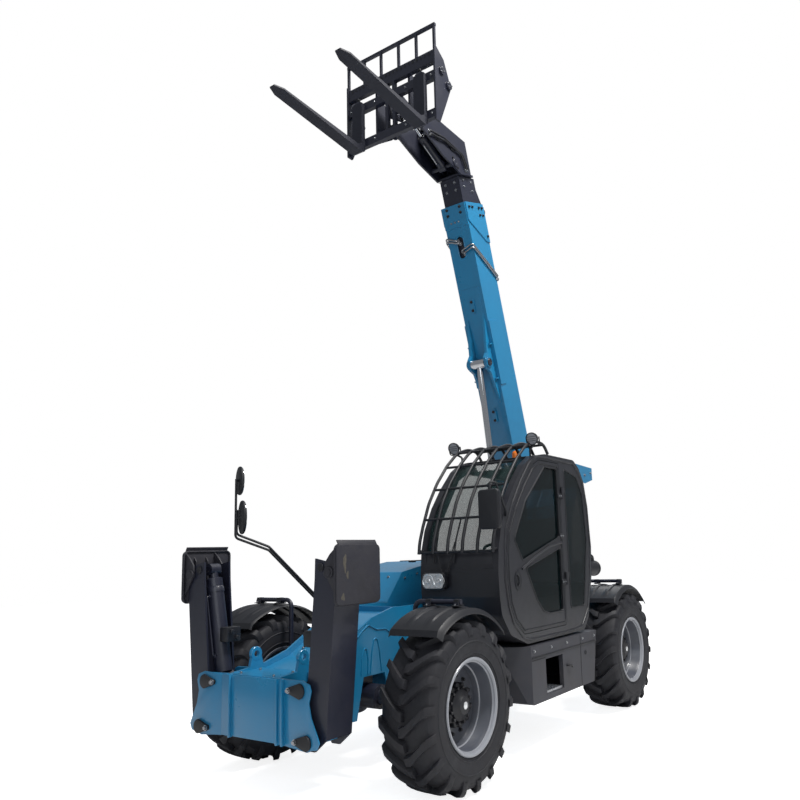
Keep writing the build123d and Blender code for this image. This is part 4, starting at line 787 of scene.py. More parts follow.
def seal(outline, x, radius, bend=0.035):
    """A bar that follows a closed outline on a plane of constant x."""
    points = [Vector((x, behind(y), z)) for y, z in outline]
    middle = (points[0] + points[-1]) / 2
    return bent_bar([tuple(p) for p in [middle] + points + [middle]], bend, radius, 2)


door_trim = [seal(DOOR_UPPER, SEAL_X, 0.008), seal(DOOR_LOWER, SEAL_X, 0.008)]
fitted(door_trim, "door_seals", black_plastic, "door")
fitted(seal(QUARTER, SEAL_X, 0.008), "quarter_seal")
handle_cup = turned([(0.0, 0.0), (0.0, 0.03), (0.006, 0.056), (0.004, 0.062), (-0.006, 0.062),
                     (-0.006, 0.0)],
                    (1.0805, behind(0.965), 1.475), X, 28)
handle_cup.data.transform(Matrix.Translation((0, 0, 1.475)) @ Matrix.Diagonal((1, 1, 1.5, 1))
                          @ Matrix.Translation((0, 0, -1.475)))
lever = bent_bar([(1.084, behind(0.955), 1.43), (1.098, behind(0.955), 1.45), (1.098, behind(0.955), 1.5),
                  (1.084, behind(0.955), 1.52)], 0.015, 0.009)
fitted([handle_cup, lever], "door_handle", black_plastic, "door")
wipers = []
for foot_x, blade_x in ((0.52, 0.45), (0.58, 0.66)):
    wipers.append(bent_bar([(foot_x, behind(0.62), 1.52), (foot_x, behind(0.607), 1.56),
                            (blade_x, behind(0.628), 1.82)], 0.02, 0.006, 2))
    wipers.append(bent_bar([(blade_x - 0.02, behind(0.625), 1.64), (blade_x, behind(0.645), 1.84),
                            (blade_x + 0.02, behind(0.705), 2.02)], 0.2, 0.007, 2))
fitted(wipers, "wipers")

# %% [markdown]
# The seat is padded: a cushion and a back of crowned, closed forms with a sewn middle panel. Each starts
# as a box, is subdivided, and its points are drawn in towards the edges, so that the faces swell.
# %% Seat
def pad(centre, size, lean, name):
    """A crowned cushion, its middle panel marked by a sewn channel."""
    bpy.ops.mesh.primitive_cube_add(size=1)
    obj = bpy.context.object
    take(obj)
    bpy.ops.object.mode_set(mode="EDIT")
    bpy.ops.mesh.select_all(action="SELECT")
    bpy.ops.mesh.subdivide(number_cuts=15)
    bpy.ops.object.mode_set(mode="OBJECT")
    for point in obj.data.vertices:
        x, y, z = point.co * 2
        round_off = math.sqrt(max(0.0, (1 - 0.42 * x * x) * (1 - 0.42 * y * y)))
        px, py = x * (1 - 0.05 * z * z), y * (1 - 0.05 * z * z)
        pz = z * round_off
        channel = math.exp(-((abs(px) - 0.62) / 0.03) ** 2) * (1 if abs(py) < 0.9 else 0)
        pz -= 0.1 * channel * (1 if z > 0.5 else 0)
        point.co = (px * size[0] / 2, py * size[1] / 2, pz * size[2] / 2)
    obj.data.transform(Matrix.Translation(centre) @ Matrix.Rotation(lean, 4, "X"))
    fit_modifier(obj, "SUBSURF", levels=1, render_levels=1)
    fitted(obj, name, vinyl, "chassis", "seat_vinyl", 1.2)
    return obj


SEAT_X = 0.68
cushion = pad((SEAT_X, behind(1.94), 1.345), (0.49, 0.5, 0.13), 0.06, "seat_cushion")
back_rest = pad((SEAT_X, behind(2.255), 1.72), (0.46, 0.66, 0.13), -1.45, "seat_back")
base = cut_plate(rounded_box(0.38, 0.42, 0.05), (SEAT_X, behind(1.965), 0.9705), X, Y, 0.31, 0.012)
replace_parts(fitted(base, "seat_base"), "seat")
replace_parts(cushion, "seat")
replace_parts(back_rest, "seat")

wheel_turn = Vector((0, 0.5, 0.86)).to_track_quat("Z", "Y").to_matrix().to_4x4()
bpy.ops.mesh.primitive_torus_add(major_radius=0.188, minor_radius=0.014, major_segments=48,
                                 minor_segments=12)
steering = [bpy.context.object]
for spoke in range(3):
    angle = math.radians(90 + 120 * spoke)
    steering.append(bent_bar([(0.02 * math.cos(angle), 0.02 * math.sin(angle), -0.012),
                              (0.185 * math.cos(angle), 0.185 * math.sin(angle), 0)], 0.01, 0.009))
steering.append(turned([(-0.03, 0.0), (-0.03, 0.03), (0.0, 0.045), (0.012, 0.036), (0.015, 0.0)], (0, 0, 0),
                       Z, 24))
steering = joined(steering)
steering.data.transform(Matrix.Translation((SEAT_X, behind(1.42), 1.7)) @ wheel_turn)
column = bent_bar([(SEAT_X, behind(1.3), 1.58), (SEAT_X, behind(1.41), 1.69)], 0.02, 0.03)
tower = side_plate([(1.12, 0.9703), (1.33, 0.9703), (1.29, 1.3), (1.37, 1.62), (1.31, 1.66), (1.12, 1.56),
                    (1.06, 1.3)], 0.56, 0.24, 0.025)
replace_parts(fitted([steering, column, tower], "steering_column"),
            "steering_console")

# %% [markdown]
# Places on the boom are easiest to give as the CAD model does: a distance along the boom from its pivot,
# a distance out towards its belly, and a distance across. Two directions turned by the boom's angle do
# that.
# %% Boom details
slant = math.radians(72)
ALONG = Vector((0, -math.cos(slant), math.sin(slant)))
OUT = Vector((0, -math.sin(slant), -math.cos(slant)))
PIVOT = Vector((0, behind(3.3), 1.9))
# pins of the boom, along and out: the head's, the tilt cylinder's, the lift cylinder's, the hose bracket's
HEAD_PIN, TILT_PIN, LIFT_PIN, BRACKET_PIN = (4.77, 0.92), (4.42, 0.33), (2.19, 0.4), (3.935, -0.235)


def on_boom(along, out, x=0.0):
    """A point of the raised boom."""
    return tuple(PIVOT + along * ALONG + out * OUT + Vector((x, 0, 0)))


def cap(centre, axis, radius, thickness, name=None, body=None, steps=28):
    """The round head of a pin: a disc with a broken edge and a hollow in its middle."""
    profile = [(0.0, 0.0), (0.0, radius), (thickness * 0.7, radius), (thickness, radius * 0.9),
               (thickness, radius * 0.42), (thickness * 0.8, radius * 0.36), (thickness * 0.8, 0.0)]
    made = turned(profile, centre, axis, steps)
    return fitted(made, name, dark_paint, body) if name else made


side_bolts = [(3.86, -0.07), (3.86, 0.0), (3.945, -0.07), (3.945, 0.0), (3.945, 0.15), (3.945, 0.22),
              (3.62, -0.09)]
places = []
for x in (0.167, -0.167):
    places += [(on_boom(u, n, x), (x, 0, 0)) for u, n in side_bolts]
for x in (-0.085, 0.085):
    places += [(on_boom(u, 0.289, x), tuple(OUT)) for u in (3.9, 3.965)]
    places += [(on_boom(u, -0.142, x), tuple(-OUT)) for u in (3.9, 3.965)]
for u in (1.56, 2.85):
    places += [(on_boom(u + shift, 0.299), tuple(OUT)) for shift in (-0.05, 0.05)]
bolts_at(places, 0.0125, 0.016, "boom_end_bolts", cast_grey, "boom_outer")
bolts_at([(on_boom(3.81, 0.289, x), tuple(OUT)) for x in (-0.06, -0.01, 0.04)], 0.008, 0.012, "boom_plugs",
         body="boom_outer")

# the raised rim of the hose slot, and the nuts where the pipes leave it
rim_points = []
for step in range(25):
    angle = 2 * math.pi * step / 24
    run = 0.08 if math.cos(angle) > 0 else -0.08
    rim_points.append(on_boom(3.525 + run + 0.048 * math.cos(angle), 0.2775, 0.048 * math.sin(angle)))
slot_rim = bent_bar(rim_points, 0.002, 0.0065, 3)
fitted(slot_rim, "hose_slot_rim", blue_paint, "boom_outer")
nuts = []
for shift in (0.0, 0.034):
    for u, x in ((3.48 - shift, 0.005 + 0.7 * shift), (3.57 + shift, -0.005 - 0.7 * shift)):
        nuts.append((on_boom(u, 0.268, x), tuple(OUT)))
bolts_at(nuts, 0.0165, 0.017, "pipe_nuts", body="boom_outer")

# pin heads at the lift cylinder's eye and on the boom's own pivot
for x, name in ((0.1362, "left"), (-0.1362, "right")):
    cap(on_boom(*LIFT_PIN, x), (x, 0, 0), 0.043, 0.014, f"lift_pin_head_{name}", "boom_outer")
for x, name in ((0.2642, "left"), (-0.2642, "right")):
    cap(tuple(PIVOT + Vector((x, 0, 0))), (x, 0, 0), 0.056, 0.016, f"pivot_head_{name}", "chassis")
ring = []
for x in (0.264, -0.264):
    for step in range(8):
        angle = math.pi * (step + 0.5) / 4
        ring.append(((x, PIVOT.y + 0.076 * math.cos(angle), PIVOT.z + 0.076 * math.sin(angle)), (x, 0, 0)))
bolts_at(ring, 0.008, 0.011, "pivot_bolts")

# welds along the doublers' edges: thin beads, half sunk
beads = []
for x in (0.155, -0.155):
    beads.append(bent_bar([on_boom(1.908, 0.27, x), on_boom(1.908, 0.15, x), on_boom(2.65, 0.058, x),
                           on_boom(2.655, 0.27, x)], 0.01, 0.005, 2))
    beads.append(bent_bar([on_boom(3.548, -0.125, x), on_boom(3.558, -0.06, x), on_boom(3.798, 0.272, x)],
                          0.02, 0.005, 2))
for x in (0.11, -0.11):
    beads.append(bent_bar([on_boom(2.655, 0.278, x), on_boom(3.05, 0.278, x)], 0.01, 0.0045, 2))
beads.append(bent_bar([on_boom(3.052, 0.278, -0.11), on_boom(3.052, 0.278, 0.11)], 0.01, 0.0045, 2))
beads.append(bent_bar([on_boom(3.748, 0.278, -0.15), on_boom(3.748, 0.278, 0.15)], 0.01, 0.0045, 2))
fitted(beads, "weld_beads", blue_paint, "boom_outer")

# wear-pad bolts and pin heads of the middle section
places = []
for x in (0.125, -0.125):
    places += [(on_boom(u, n, x), (x, 0, 0)) for u, n in ((4.245, -0.01), (4.148, -0.01), (4.262, 0.165),
                                                          (4.186, 0.165))]
for x in (-0.06, 0.06):
    places += [(on_boom(u, 0.247, x), tuple(OUT)) for u in (4.16, 4.245)]
bolts_at(places, 0.0115, 0.014, "mid_wear_pad_bolts", body="boom_mid")
for x, name in ((0.0952, "left"), (-0.0952, "right")):
    cap(on_boom(*BRACKET_PIN, x), (x, 0, 0), 0.032, 0.012, f"bracket_pin_head_{name}", "boom_mid")
roller = turned([(-0.05, 0.0), (-0.05, 0.045), (-0.04, 0.052), (-0.02, 0.046), (0.02, 0.046), (0.04, 0.052),
                 (0.05, 0.045), (0.05, 0.0)], on_boom(*BRACKET_PIN), X, 32)
fitted(roller, "bracket_roller", cast_grey, "boom_mid", "dark_paint")

# the head: rings round its pins, a flag plate each side, and the lines that rise on its left plate
for x, name in ((0.1652, "left"), (-0.1652, "right")):
    ring = turned([(0.0, 0.0), (0.0, 0.078), (0.007, 0.078), (0.01, 0.074), (0.01, 0.0325), (0.0, 0.0325)],
                  on_boom(*HEAD_PIN, x), (x, 0, 0), 36)
    fitted(ring, f"head_boss_{name}", dark_paint, "boom_head")
    cap(on_boom(*TILT_PIN, x), (x, 0, 0), 0.046, 0.014, f"tilt_pin_head_{name}", "boom_head")
bolts_at([(on_boom(4.42 + 0.065 * math.cos(a), 0.33 + 0.065 * math.sin(a), x), (x, 0, 0))
          for x in (0.165, -0.165) for a in (0.6, 3.74)], 0.009, 0.011, "head_bolts", cast_grey, "boom_head")
lines, ends = [], []
for shift in (0.0, 0.034):
    lines.append(bent_bar([on_boom(4.36, 0.1 + shift, 0.16), on_boom(4.36, 0.1 + shift, 0.186),
                           on_boom(4.52, 0.16 + shift, 0.186), on_boom(4.66 - shift, 0.5 - shift / 2, 0.186),
                           on_boom(4.7 - shift, 0.76, 0.186), on_boom(4.7 - shift, 0.76, 0.16)], 0.05,
                           0.0095))
    ends += [(on_boom(4.36, 0.1 + shift, 0.164), X), (on_boom(4.7 - shift, 0.76, 0.164), X)]
for u, n in ((4.582, 0.334), (4.663, 0.625)):
    lines.append(cut_plate(rounded_box(0.075, 0.075, 0.012), on_boom(u, n, 0.1648), Y, Z, 0.012, 0.003))
fitted(lines, "head_lines", black_plastic, "boom_head")
bolts_at(ends, 0.0165, 0.018, "head_line_nuts", body="boom_head")

# %% [markdown]
# A hydraulic cylinder is a plain tube in the CAD model. A gland where its rod comes out, a welded port at
# each end and the pipe between them make it read as one.
# %% Cylinders
def dress_cylinder(base, eye, radius, start, end, side, name, body, sleeve=0):
    """A gland, two ports and a feed pipe on one side, and a sleeve at the rod's root if it is asked for."""
    base, eye, side = Vector(base), Vector(eye), Vector(side).normalized()
    axis = (eye - base).normalized()
    tip = base + axis * end
    gland = turned([(-0.045, radius - 0.002), (-0.045, radius + 0.0035), (-0.008, radius + 0.0035),
                    (-0.002, radius),
                    (0.0015, radius - 0.006), (0.0015, radius * 0.72), (-0.045, radius * 0.72)], tip, axis,
                    40)
    parts = [gland]
    ports = (start + 0.07, end - 0.075)
    for distance in ports:
        parts.append(turned([(radius - 0.012, 0.0), (radius - 0.012, 0.017), (radius + 0.008, 0.017),
                             (radius + 0.01, 0.014), (radius + 0.01, 0.0)], base + axis * distance, side,
                             20))
    if sleeve:
        parts.append(turned([(-0.01, radius * 0.72), (-0.01, radius - 0.001),
                             (sleeve - 0.006, radius - 0.001),
                             (sleeve, radius - 0.007), (sleeve, radius * 0.72), (-0.01, radius * 0.72)], tip,
                             axis, 40))
    fitted(parts, f"{name}_gland", dark_paint, body)
    reach = radius + 0.017
    run = [base + axis * ports[0] + side * (radius - 0.004),
           base + axis * ports[0] + side * reach,
           base + axis * ports[1] + side * reach, base + axis * ports[1] + side * (radius - 0.004)]
    fitted(bent_bar([tuple(p) for p in run], 0.02, 0.0065, 3), f"{name}_feed", dark_paint
           if sleeve else steel, body,
           "steel_pipe")


def leg_pin(side):
    """The pin that joins a stabilizer's rod to its leg."""
    return (side * 0.645, behind(-0.875), 1.655)


def frame_pin(side):
    """The pin that joins a stabilizer's cylinder to the nose."""
    return (side * 0.484, behind(-0.875), 0.844)


dress_cylinder((0, behind(2.72), 1.05), on_boom(*LIFT_PIN), 0.0802, 0.33, 1.48, X, "lift_cylinder",
               "lift_cylinder")
tilt_eye = Vector(on_boom(*HEAD_PIN)) + Vector((0, 0.01, 0.15))
dress_cylinder(on_boom(*TILT_PIN), tilt_eye, 0.0502, 0.03, 0.44, OUT - ALONG, "tilt_cylinder",
               "tilt_cylinder")
for side, name in ((1, "left"), (-1, "right")):
    dress_cylinder(frame_pin(side), leg_pin(side), 0.0652, 0.1,
                   0.69,
                   (0, -1, 0), f"stabilizer_cylinder_{name}", f"stabilizer_cylinder_{name}", 0.065)

# %% [markdown]
# The nose is built of doubled plates. Each of its four pins is held by a black drop-shaped keeper with
# one bright bolt, and the deck behind is bolted down.
# %% Nose and stabilizers
nose_y = behind(-1.03)


def drop(centre, towards, radius, tail):
    """The outline of a keeper: a circle drawn out to a smaller one."""
    heading = math.atan2(towards[1], towards[0])
    points = []
    for step in range(17):
        angle = heading + math.radians(100 + 160 * step / 16)
        points.append((centre[0] + radius * math.cos(angle), centre[1] + radius * math.sin(angle)))
    for step in range(9):
        angle = heading + math.radians(-80 + 160 * step / 8)
        points.append((centre[0] + tail * math.cos(heading) + 0.02 * math.cos(angle),
                       centre[1] + tail * math.sin(heading) + 0.02 * math.sin(angle)))
    return points


keepers, keeper_bolts = [], []
for side in (1, -1):
    for x, z in ((0.545, 0.52), (0.484, 0.844)):
        outline = drop((side * x, z), (-side, 0), 0.052, 0.088)
        keepers.append(cut_plate(outline, (0, nose_y - 0.0122, 0), X, Z, 0.02, 0.005))
        keeper_bolts.append(((side * (x - 0.088), nose_y - 0.0322, z), (0, -1, 0)))
        keepers.append(turned([(-0.002, 0.0), (-0.002, 0.019), (0.013, 0.019), (0.013, 0.0)],
                              (side * (x - 0.088), nose_y, z), (0, -1, 0), 20))
fitted(keepers, "pin_keepers")
bolts_at(keeper_bolts, 0.0145, 0.014, "keeper_bolts")

wing = [(0.3, 0.485), (0.562, 0.471), (0.642, 0.487), (0.663, 0.53), (0.634, 0.59), (0.59, 0.678),
        (0.568, 0.77),
        (0.59, 0.847), (0.575, 0.89), (0.51, 0.913), (0.3, 0.906)]
doubled = []
for side in (1, -1):
    doubled.append(cut_plate([(side * x, z) for x, z in wing], (0, nose_y + 0.0002, 0), X, Z, 0.0105,
                             0.002))
doubled.append(cut_plate([(-0.302, 0.487), (0.302, 0.487), (0.302, 0.906), (-0.302, 0.906)],
                         (0, nose_y + 0.0002, 0),
                         X, Z, 0.0155, 0.003))
for x in (-0.205, 0.28, 0.33):
    doubled.append(cut_plate([(x - 0.0085, 0.479), (x + 0.0085, 0.479), (x + 0.0085, 0.912),
                              (x - 0.0085, 0.912)],
                             (0, nose_y, 0), X, Z, 0.034, 0.004))
fitted(doubled, "nose_doublers", blue_paint)
places = []
for x in (-0.17, 0.17):
    places += [((x, behind(y), 0.91), Z) for y in (-0.98, -0.8)]
    places += [((x, behind(y), z), (0, -0.5, 1)) for y, z in ((-0.36, 1.011), (-0.26, 1.06))]
bolts_at(places, 0.009, 0.01, "nose_bolts")

# ridges pressed into the left side plate, and the valve block on each stabilizer's cylinder
RIDGES = (((-0.2, 1.09), (-0.141, 1.135), (-0.067, 1.175), (0.039, 1.131), (0.15, 1.126), (0.217, 1.085)),
          ((-0.05, 0.8), (-0.03, 0.95), (0.0, 1.06), (0.04, 1.06), (0.07, 0.95), (0.09, 0.8)),
          ((-0.16, 0.8), (-0.15, 0.92), (-0.12, 1.0), (-0.09, 0.99), (-0.075, 0.9), (-0.08, 0.8)))
ridges = [bent_bar([(0.2605, behind(y), z) for y, z in ridge], 0.04, 0.007, 2) for ridge in RIDGES]
fitted(ridges, "side_ridges", blue_paint)
for side, name in ((1, "left"), (-1, "right")):
    block = cut_plate(rounded_box(0.13, 0.11, 0.012), (side * 0.486, behind(-0.86), 1.165), (0, side, 0), Z,
                      -0.086, 0.006)
    plugs = [turned([(0.0, 0.0), (0.0, 0.016), (0.022, 0.016), (0.025, 0.011), (0.025, 0.0)],
                    (side * 0.402, behind(y), z), (-side, 0, 0), 16) for y,
                    z in ((-0.89, 1.19), (-0.84, 1.14))]
    close_up(block)
    fitted([block] + plugs, f"lock_valve_{name}", black_plastic, f"stabilizer_cylinder_{name}")

# a foot is a tray with rounded corners: its top edge leans in, and two gussets reach to its pin
for side, name in ((1, "left"), (-1, "right")):
    leg, pad_body = f"stabilizer_leg_{name}", f"stabilizer_pad_{name}"
    heads = []
    for y, direction in ((-1.0, -1), (-0.75, 1)):
        heads.append(cap((side * 0.645, behind(y), 1.655), (0, direction, 0), 0.028, 0.011))
    fitted(heads, f"leg_pin_heads_{name}", cast_grey, leg, "dark_paint")
    tray = [cut_plate(rounded_box(0.45, 0.4, 0.035), (side * 0.8052, behind(-0.81), 1.602), (0, side, 0), Z,
                      0.016, 0.005)]
    rim = rounded_box(0.45, 0.4, 0.035)
    path = [(side * 0.801, behind(-0.81) + a * 0.985, 1.602 + b * 0.985) for a, b in rim]
    tray.append(bent_bar(path + [path[0]], 0.001, 0.0085, 2))
    lean = [(side * a, b) for a, b in ((0.005, 0.0), (0.0145, 0.0), (-0.006, 0.04), (-0.014, 0.036))]
    tray.append(cut_plate(lean, (side * 0.8052, behind(-0.61), 1.795), X, Z, 0.4, 0.002))
    gusset = [(0.8065, 1.45), (0.8065, 1.795), (0.74, 1.74), (0.7, 1.69), (0.692, 1.645), (0.694, 1.61),
              (0.712, 1.585)]
    for y in (-1.005, -0.731):
        tray.append(cut_plate([(side * x, z) for x, z in gusset], (0, behind(y), 0), X, Z, 0.014, 0.002))
    for start, end in ((-1.034, -0.98), (-0.77, -0.716)):
        tray.append(turned([(0.0, 0.0), (0.0, 0.024), (end - start, 0.024), (end - start, 0.0)],
                           (side * 0.735, behind(start), 1.62), Y, 24))
    for y, direction in ((-1.0188, -1), (-0.7312, 1)):
        tray.append(turned([(0.0, 0.0), (0.0, 0.041), (0.008, 0.041), (0.011, 0.037), (0.011, 0.0)],
                           (side * 0.735, behind(y), 1.62), (0, direction, 0), 28))
    for y in (-0.93, -0.82):
        outline = [(side * a, b) for a, b in ((0.001, -0.15), (0.001, 0.14), (-0.028, 0.1), (-0.028, -0.11))]
        tray.append(cut_plate(outline, (side * 0.8052, behind(y) + 0.006, 1.62), X, Z, 0.012, 0.002))
    foot = fitted(tray, f"foot_{name}", sole_paint, pad_body, "dark_paint")
    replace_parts(foot, pad_body)

smears = []
for y, z, width, height in ((-0.955, 1.68, 0.03, 0.12), (-0.93, 1.6, 0.022, 0.05),
                            (-0.975, 1.455, 0.034, 0.045)):
    outline = []
    for step in range(16):
        angle = 2 * math.pi * step / 16
        reach = 1 + 0.25 * math.sin(3 * angle + 7 * z)
        outline.append((width / 2 * math.cos(angle) * reach, height / 2 * math.sin(angle) * reach))
    smears.append(cut_plate(outline, (0.8211, behind(y), z), Y, Z, 0.0006))
fitted(smears, "foot_scuffs", scuff, "stabilizer_pad_left", "dark_paint")
for side, name in ((1, "left"), (-1, "right")):
    eye = Vector(leg_pin(side))
    foot = Vector(frame_pin(side))
    collar = [turned([(-0.046, 0.02), (-0.046, 0.0465), (0.046, 0.0465), (0.046, 0.02)], eye, Y, 32),
              turned([(0.03, 0.0), (0.03, 0.036), (0.0695, 0.036), (0.0695, 0.0)], eye, foot - eye, 28)]
    fitted(collar, f"rod_eye_{name}", dark_paint, f"stabilizer_rod_{name}", "chrome")
rings = []
for side in (1, -1):
    centre = (side * 0.2475, behind(-0.78), 1.02)
    rings.append(turned([(-0.0145, 0.0245), (-0.0145, 0.049), (-0.0115, 0.052), (0.0115, 0.052),
                         (0.0145, 0.049),
                         (0.0145, 0.0245), (-0.0145, 0.0245)], centre, X, 40))
fitted(rings, "lug_rings", blue_paint)

# %% [markdown]
# The carriage carries the marks of its trade: a row of holes in the upper beam, each a black disc of painted
# shade, bosses with their bolts on the end plates, and a latch with a knob on top of each fork.
# %% Carriage
CARRIAGE_Y, CARRIAGE_Z = on_boom(*HEAD_PIN)[1:]
face_y = CARRIAGE_Y - 0.271
# each hole is a black disc on the beam's face: painted shade in place of the hollow
hole_shade_discs = []
for step in range(21):
    x = -0.5 + step * 0.05
    hole_shade_discs.append(turned([(0.0, 0.0), (0.0, 0.011), (0.0012, 0.0125), (0.002, 0.0145), (-0.002, 0.015),
                         (-0.002, 0.0)],
                        (x, face_y - 0.0005, CARRIAGE_Z + 0.455), (0, -1, 0), 16))
fitted(hole_shade_discs, "beam_hole_shades", black_plastic, "carriage")
latches, knobs = [], []
for x in (-0.4, 0.4):
    latches.append(cut_plate([(-0.05, 0.2482), (0.05, 0.2482), (0.05, 0.262), (0.03, 0.275), (-0.03, 0.275),
                              (-0.05, 0.262)],
                             (x, CARRIAGE_Y - 0.2715, CARRIAGE_Z), X, Z, 0.045, 0.004))
    knobs.append(turned([(-0.01, 0.0), (-0.01, 0.012), (0.02, 0.01), (0.024, 0.018), (0.04, 0.019),
                         (0.048, 0.012),
                         (0.05, 0.0)], (x, CARRIAGE_Y - 0.294, CARRIAGE_Z + 0.275), Z, 20))
fitted(latches, "fork_latches", dark_paint, "carriage")
fitted(knobs, "latch_knobs", black_plastic, "carriage")
places = []
for x in (0.5932, -0.5932):
    for y, z, radius in ((-0.056, 0.198, 0.026), (-0.176, 0.298, 0.022)):
        for step in range(3):
            angle = 2 * math.pi * step / 3
            places.append(((x, CARRIAGE_Y + y + radius * math.cos(angle),
                            CARRIAGE_Z + z + radius * math.sin(angle)), (x, 0, 0)))
for x in (-0.52, -0.2, 0.2, 0.52):
    places.append(((x, face_y, CARRIAGE_Z + 0.223), (0, -1, 0)))
    places.append(((x, face_y, CARRIAGE_Z - 0.187), (0, -1, 0)))
bolts_at(places, 0.009, 0.012, "carriage_bolts", body="carriage")
for x, name in ((0.2252, "left"), (-0.2252, "right")):
    cap((x, CARRIAGE_Y, CARRIAGE_Z), (x, 0, 0), 0.046, 0.014, f"carriage_pin_head_{name}", "carriage")

# %% [markdown]
# Panels are told apart by their seams, vents and fastenings. A seam is a thin dark strip laid on the
# panel, a vent a row of slats in a frame.
# %% Skirt, hood and body details
SKIN_X = 1.1202
seams = [side_plate([(2.075, 0.425), (2.085, 0.425), (2.098, 0.9), (2.088, 0.9)], SKIN_X, 0.0012),
         side_plate([(1.07, 0.781), (1.33, 0.779), (1.33, 0.787), (1.07, 0.789)], SKIN_X, 0.0012)]
fitted(seams, "skirt_seams", rubber, "chassis", "black_plastic")
ledge = side_plate([(1.07, 0.8), (2.46, 0.8), (2.462, 0.812), (1.07, 0.812)], SKIN_X, 0.009, 0.003)
lock = turned([(0.0, 0.0), (0.0, 0.02), (0.004, 0.021), (0.006, 0.016), (0.003, 0.012), (0.003, 0.0)],
              (SKIN_X, behind(2.2), 0.72), X, 24)
grab = bent_bar([(SKIN_X - 0.01, behind(1.76), 0.655), (SKIN_X + 0.024, behind(1.76), 0.66),
                 (SKIN_X + 0.024, behind(1.82), 0.65), (SKIN_X + 0.018, behind(1.84), 0.635)], 0.01, 0.009)
fitted([ledge, lock, grab], "skirt_trim")
bolts_at([((SKIN_X, behind(y), 0.86), X) for y in (1.12, 1.45, 1.78, 2.14, 2.42)], 0.01, 0.01, "skirt_bolts",
         steel, "chassis", "steel_pipe")
grating = []
for step in range(7):
    x = 0.915 + step * 0.031
    grating.append(side_plate([(1.332, 0.4702), (1.678, 0.4702), (1.678, 0.494), (1.332, 0.494)], x, 0.005))
for step in range(9):
    y = 1.35 + step * 0.039
    grating.append(bent_bar([(0.912, behind(y), 0.488), (1.108, behind(y), 0.488)], 0.01, 0.004, 2))
fitted(grating, "step_grating", steel, slot="steel_pipe")

slats = []
for step in range(11):
    z = 0.86 + step * 0.038
    slats.append(cut_plate([(0.0, 0.0), (0.016, -0.014), (0.018, -0.01), (0.002, 0.006)],
                           (HOOD_SIDE, behind(1.78), z),
                           (-1, 0, 0), Z, 0.46))
frame_bar = [(-1.0835, behind(y), z) for y, z in ((2.0, 0.83), (2.26, 0.83), (2.26, 1.28), (1.76, 1.28),
                                                  (1.76, 0.83), (2.0, 0.83))]
slats.append(bent_bar(frame_bar, 0.02, 0.007, 2))
fitted(slats, "hood_louvres")
grille = [bent_bar([(x, behind(y), 1.657) for x, y in ((-0.6, 1.78), (-0.85, 1.78), (-0.85, 2.32),
                                                       (-0.36, 2.32),
                                                         (-0.36, 1.78), (-0.6, 1.78))], 0.02, 0.007, 2)]
for step in range(12):
    y = 1.82 + step * 0.042
    grille.append(cut_plate(rounded_box(0.46, 0.014, 0.005), (-0.605, behind(y), 1.6552), X, Y, 0.006))
fitted(grille, "hood_grille")
handle = bent_bar([(-1.078, behind(1.2), 1.12), (-1.11, behind(1.2), 1.12), (-1.11, behind(1.36), 1.12),
                   (-1.078, behind(1.36), 1.12)], 0.018, 0.009)
hinges = [turned([(-0.05, 0.0), (-0.05, 0.011), (0.05, 0.011), (0.05, 0.0)], (-0.275, behind(y), 1.658), Y,
                 16)
          for y in (1.25, 2.35)]
fitted([handle] + hinges, "hood_fittings")
places = [((-0.2602, behind(y), z), X) for y, z in ((1.1, 1.5), (1.3, 1.535), (1.5, 1.565), (1.7, 1.59),
                                                    (2.3, 1.59))]
places += [((x, behind(y), z), (0, -0.75, 0.66)) for x in (-0.4, -0.9) for y,
           z in ((0.87, 1.345), (1.02, 1.513))]
places += [((HOOD_SIDE, behind(y), z), (-1, 0, 0)) for y, z in ((0.9, 0.64), (1.7, 0.64), (2.44, 0.64),
                                                                (0.95, 1.25),
                                                             (2.44, 1.42))]
bolts_at(places, 0.01, 0.011, "hood_bolts")

# the tower's cover and the rear: bolts, two lamp housings and a towing eye
places = []
for x in (0.3302, -0.3302):
    places += [((x, behind(y), z), (x, 0, 0)) for y, z in ((3.62, 2.79), (3.95, 2.73), (4.28, 2.7),
                                                           (4.48, 2.74))]
for x in (0.24, -0.24):
    places += [((x, behind(y), z), (x, 0, 0)) for y, z in ((3.0, 1.2), (3.1, 1.5), (3.8, 1.25), (3.9, 1.7),
                                                           (3.3, 2.4))]
bolts_at(places, 0.0125, 0.015, "tower_bolts")
rear_y = behind(4.5175)
lamp_boxes, lamp_faces = [], []
for x in (-0.34, 0.34):
    lamp_boxes.append(cut_plate(rounded_box(0.2, 0.09, 0.015), (x, rear_y - 0.0005, 1.02), (-1, 0, 0), Z,
                                0.03, 0.005))
    lamp_faces.append(cut_plate(rounded_box(0.17, 0.062, 0.01), (x, rear_y + 0.0292, 1.02), (-1, 0, 0), Z,
                                0.006, 0.002))
fitted(lamp_boxes, "rear_lamps")
fitted(lamp_faces, "rear_lamp_faces", amber)
eye = turned([(-0.02, 0.03), (-0.02, 0.052), (0.02, 0.052), (0.02, 0.03), (-0.02, 0.03)],
             (0, rear_y + 0.035, 0.78),
             X, 32)
foot = cut_plate(rounded_box(0.16, 0.16, 0.02), (0, rear_y - 0.006, 0.78), (-1, 0, 0), Z, 0.018, 0.004)
fitted([eye, foot], "towing_eye", dark_paint)

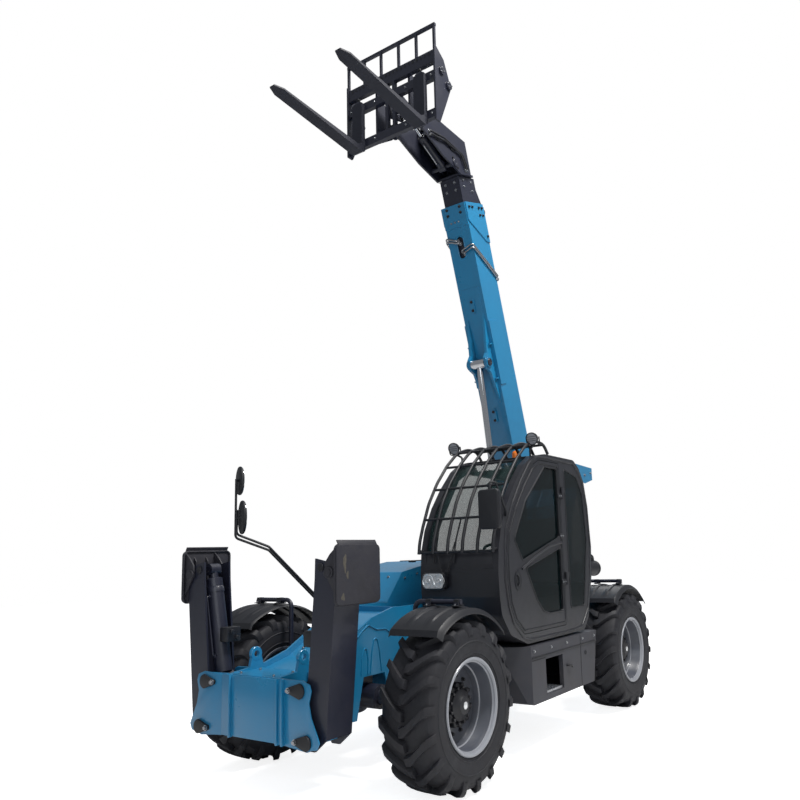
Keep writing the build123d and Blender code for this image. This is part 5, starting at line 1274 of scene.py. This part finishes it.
# door: hinge straps, the raised frame and the rail between its panes
HINGES = (1.42, 1.86, 2.25)  # the heights of the door's hinges
straps = []
for z in HINGES:
    straps.append(cut_plate(rounded_box(0.075, 0.05, 0.012), (CAB_SIDE, behind(1.868), z), Y, Z, 0.012,
                            0.003))
frame_line = ((1.05, 1.045), (0.912, 1.157), (0.84, 1.3), (0.812, 1.5), (0.812, 1.7), (0.848, 1.885),
              (0.99, 2.108),
              (1.158, 2.305), (1.342, 2.48), (1.478, 2.54), (1.872, 2.54), (1.872, 1.045))
rail = bent_bar([(1.082, behind(y), z) for y, z in ((1.872, 1.795), (1.6, 1.76), (1.3, 1.67), (1.04, 1.57))],
                0.3, 0.012, 3)
fitted(straps + [rail], "door_frame", cab_paint, "door")
fitted(seal(frame_line, SEAL_X, 0.008), "door_seam", black_plastic, "door")
MOULDING = ((0.765, 1.793), (0.745, 1.476), (0.785, 1.27), (0.855, 1.12), (1.02, 0.985), (1.15, 0.958),
            (1.956, 0.952),
            (2.25, 0.965), (2.42, 1.13), (2.53, 1.45), (2.565, 1.75), (2.53, 2.15), (2.45, 2.41),
            (2.35, 2.53),
            (2.24, 2.6), (1.6, 2.608), (1.42, 2.6), (1.28, 2.53), (1.1, 2.355), (0.93, 2.15), (0.785, 1.91))
fitted(seal(MOULDING, 1.0805, 0.011, 0.12), "side_moulding", cab_paint)
quarter_pane = side_plate([(2.012, 2.525), (2.298, 2.466), (2.425, 2.3), (2.475, 1.81), (2.328, 1.165),
                           (2.012, 1.165)], 1.0755, 0.003)
fitted(quarter_pane, "quarter_pane", dark_glass, "chassis", "glass")
sill = side_plate([(0.632, 1.585), (0.653, 1.724), (0.663, 1.724), (0.642, 1.585)], 0.325, 0.71, 0.002)
fitted(sill, "screen_sill", cab_paint)
canister = turned([(0.0, 0.0), (0.0, 0.07), (0.02, 0.09), (0.06, 0.094), (0.065, 0.099), (0.09, 0.099),
                   (0.095, 0.094),
                   (0.5, 0.094), (0.505, 0.1), (0.53, 0.1), (0.535, 0.09), (0.56, 0.075), (0.56, 0.0)],
                  (0.37, behind(3.78), 1.48), Y, 40)
straps = [canister]
for y in (3.8, 3.86):
    straps.append(cut_plate([(0.2395, 1.4), (0.32, 1.4), (0.32, 1.56), (0.2395, 1.56)],
                            (0, behind(y) + 0.012, 0),
                            X, Z, 0.012, 0.002))
straps.append(bent_bar([(0.37, behind(4.25), 1.5), (0.37, behind(4.25), 1.62), (0.37, behind(4.1), 1.66)],
                       0.04, 0.035))
fitted(straps, "air_cleaner")
bolts_at([((1.092, behind(1.868 + dy), z), X) for z in HINGES for dy in (-0.022, 0.022)], 0.007,
         0.008, "hinge_bolts", body="door")
casings = []
for distance in (0.0, WHEELBASE):
    casings.append(turned([(-0.16, 0.0), (-0.16, 0.075), (-0.12, 0.11), (-0.05, 0.132), (0.05, 0.132),
                           (0.12, 0.11),
                           (0.16, 0.075), (0.16, 0.0)], (0, behind(distance), AXLE_Z), X, 36))
fitted(casings, "axle_casings", dark_paint)
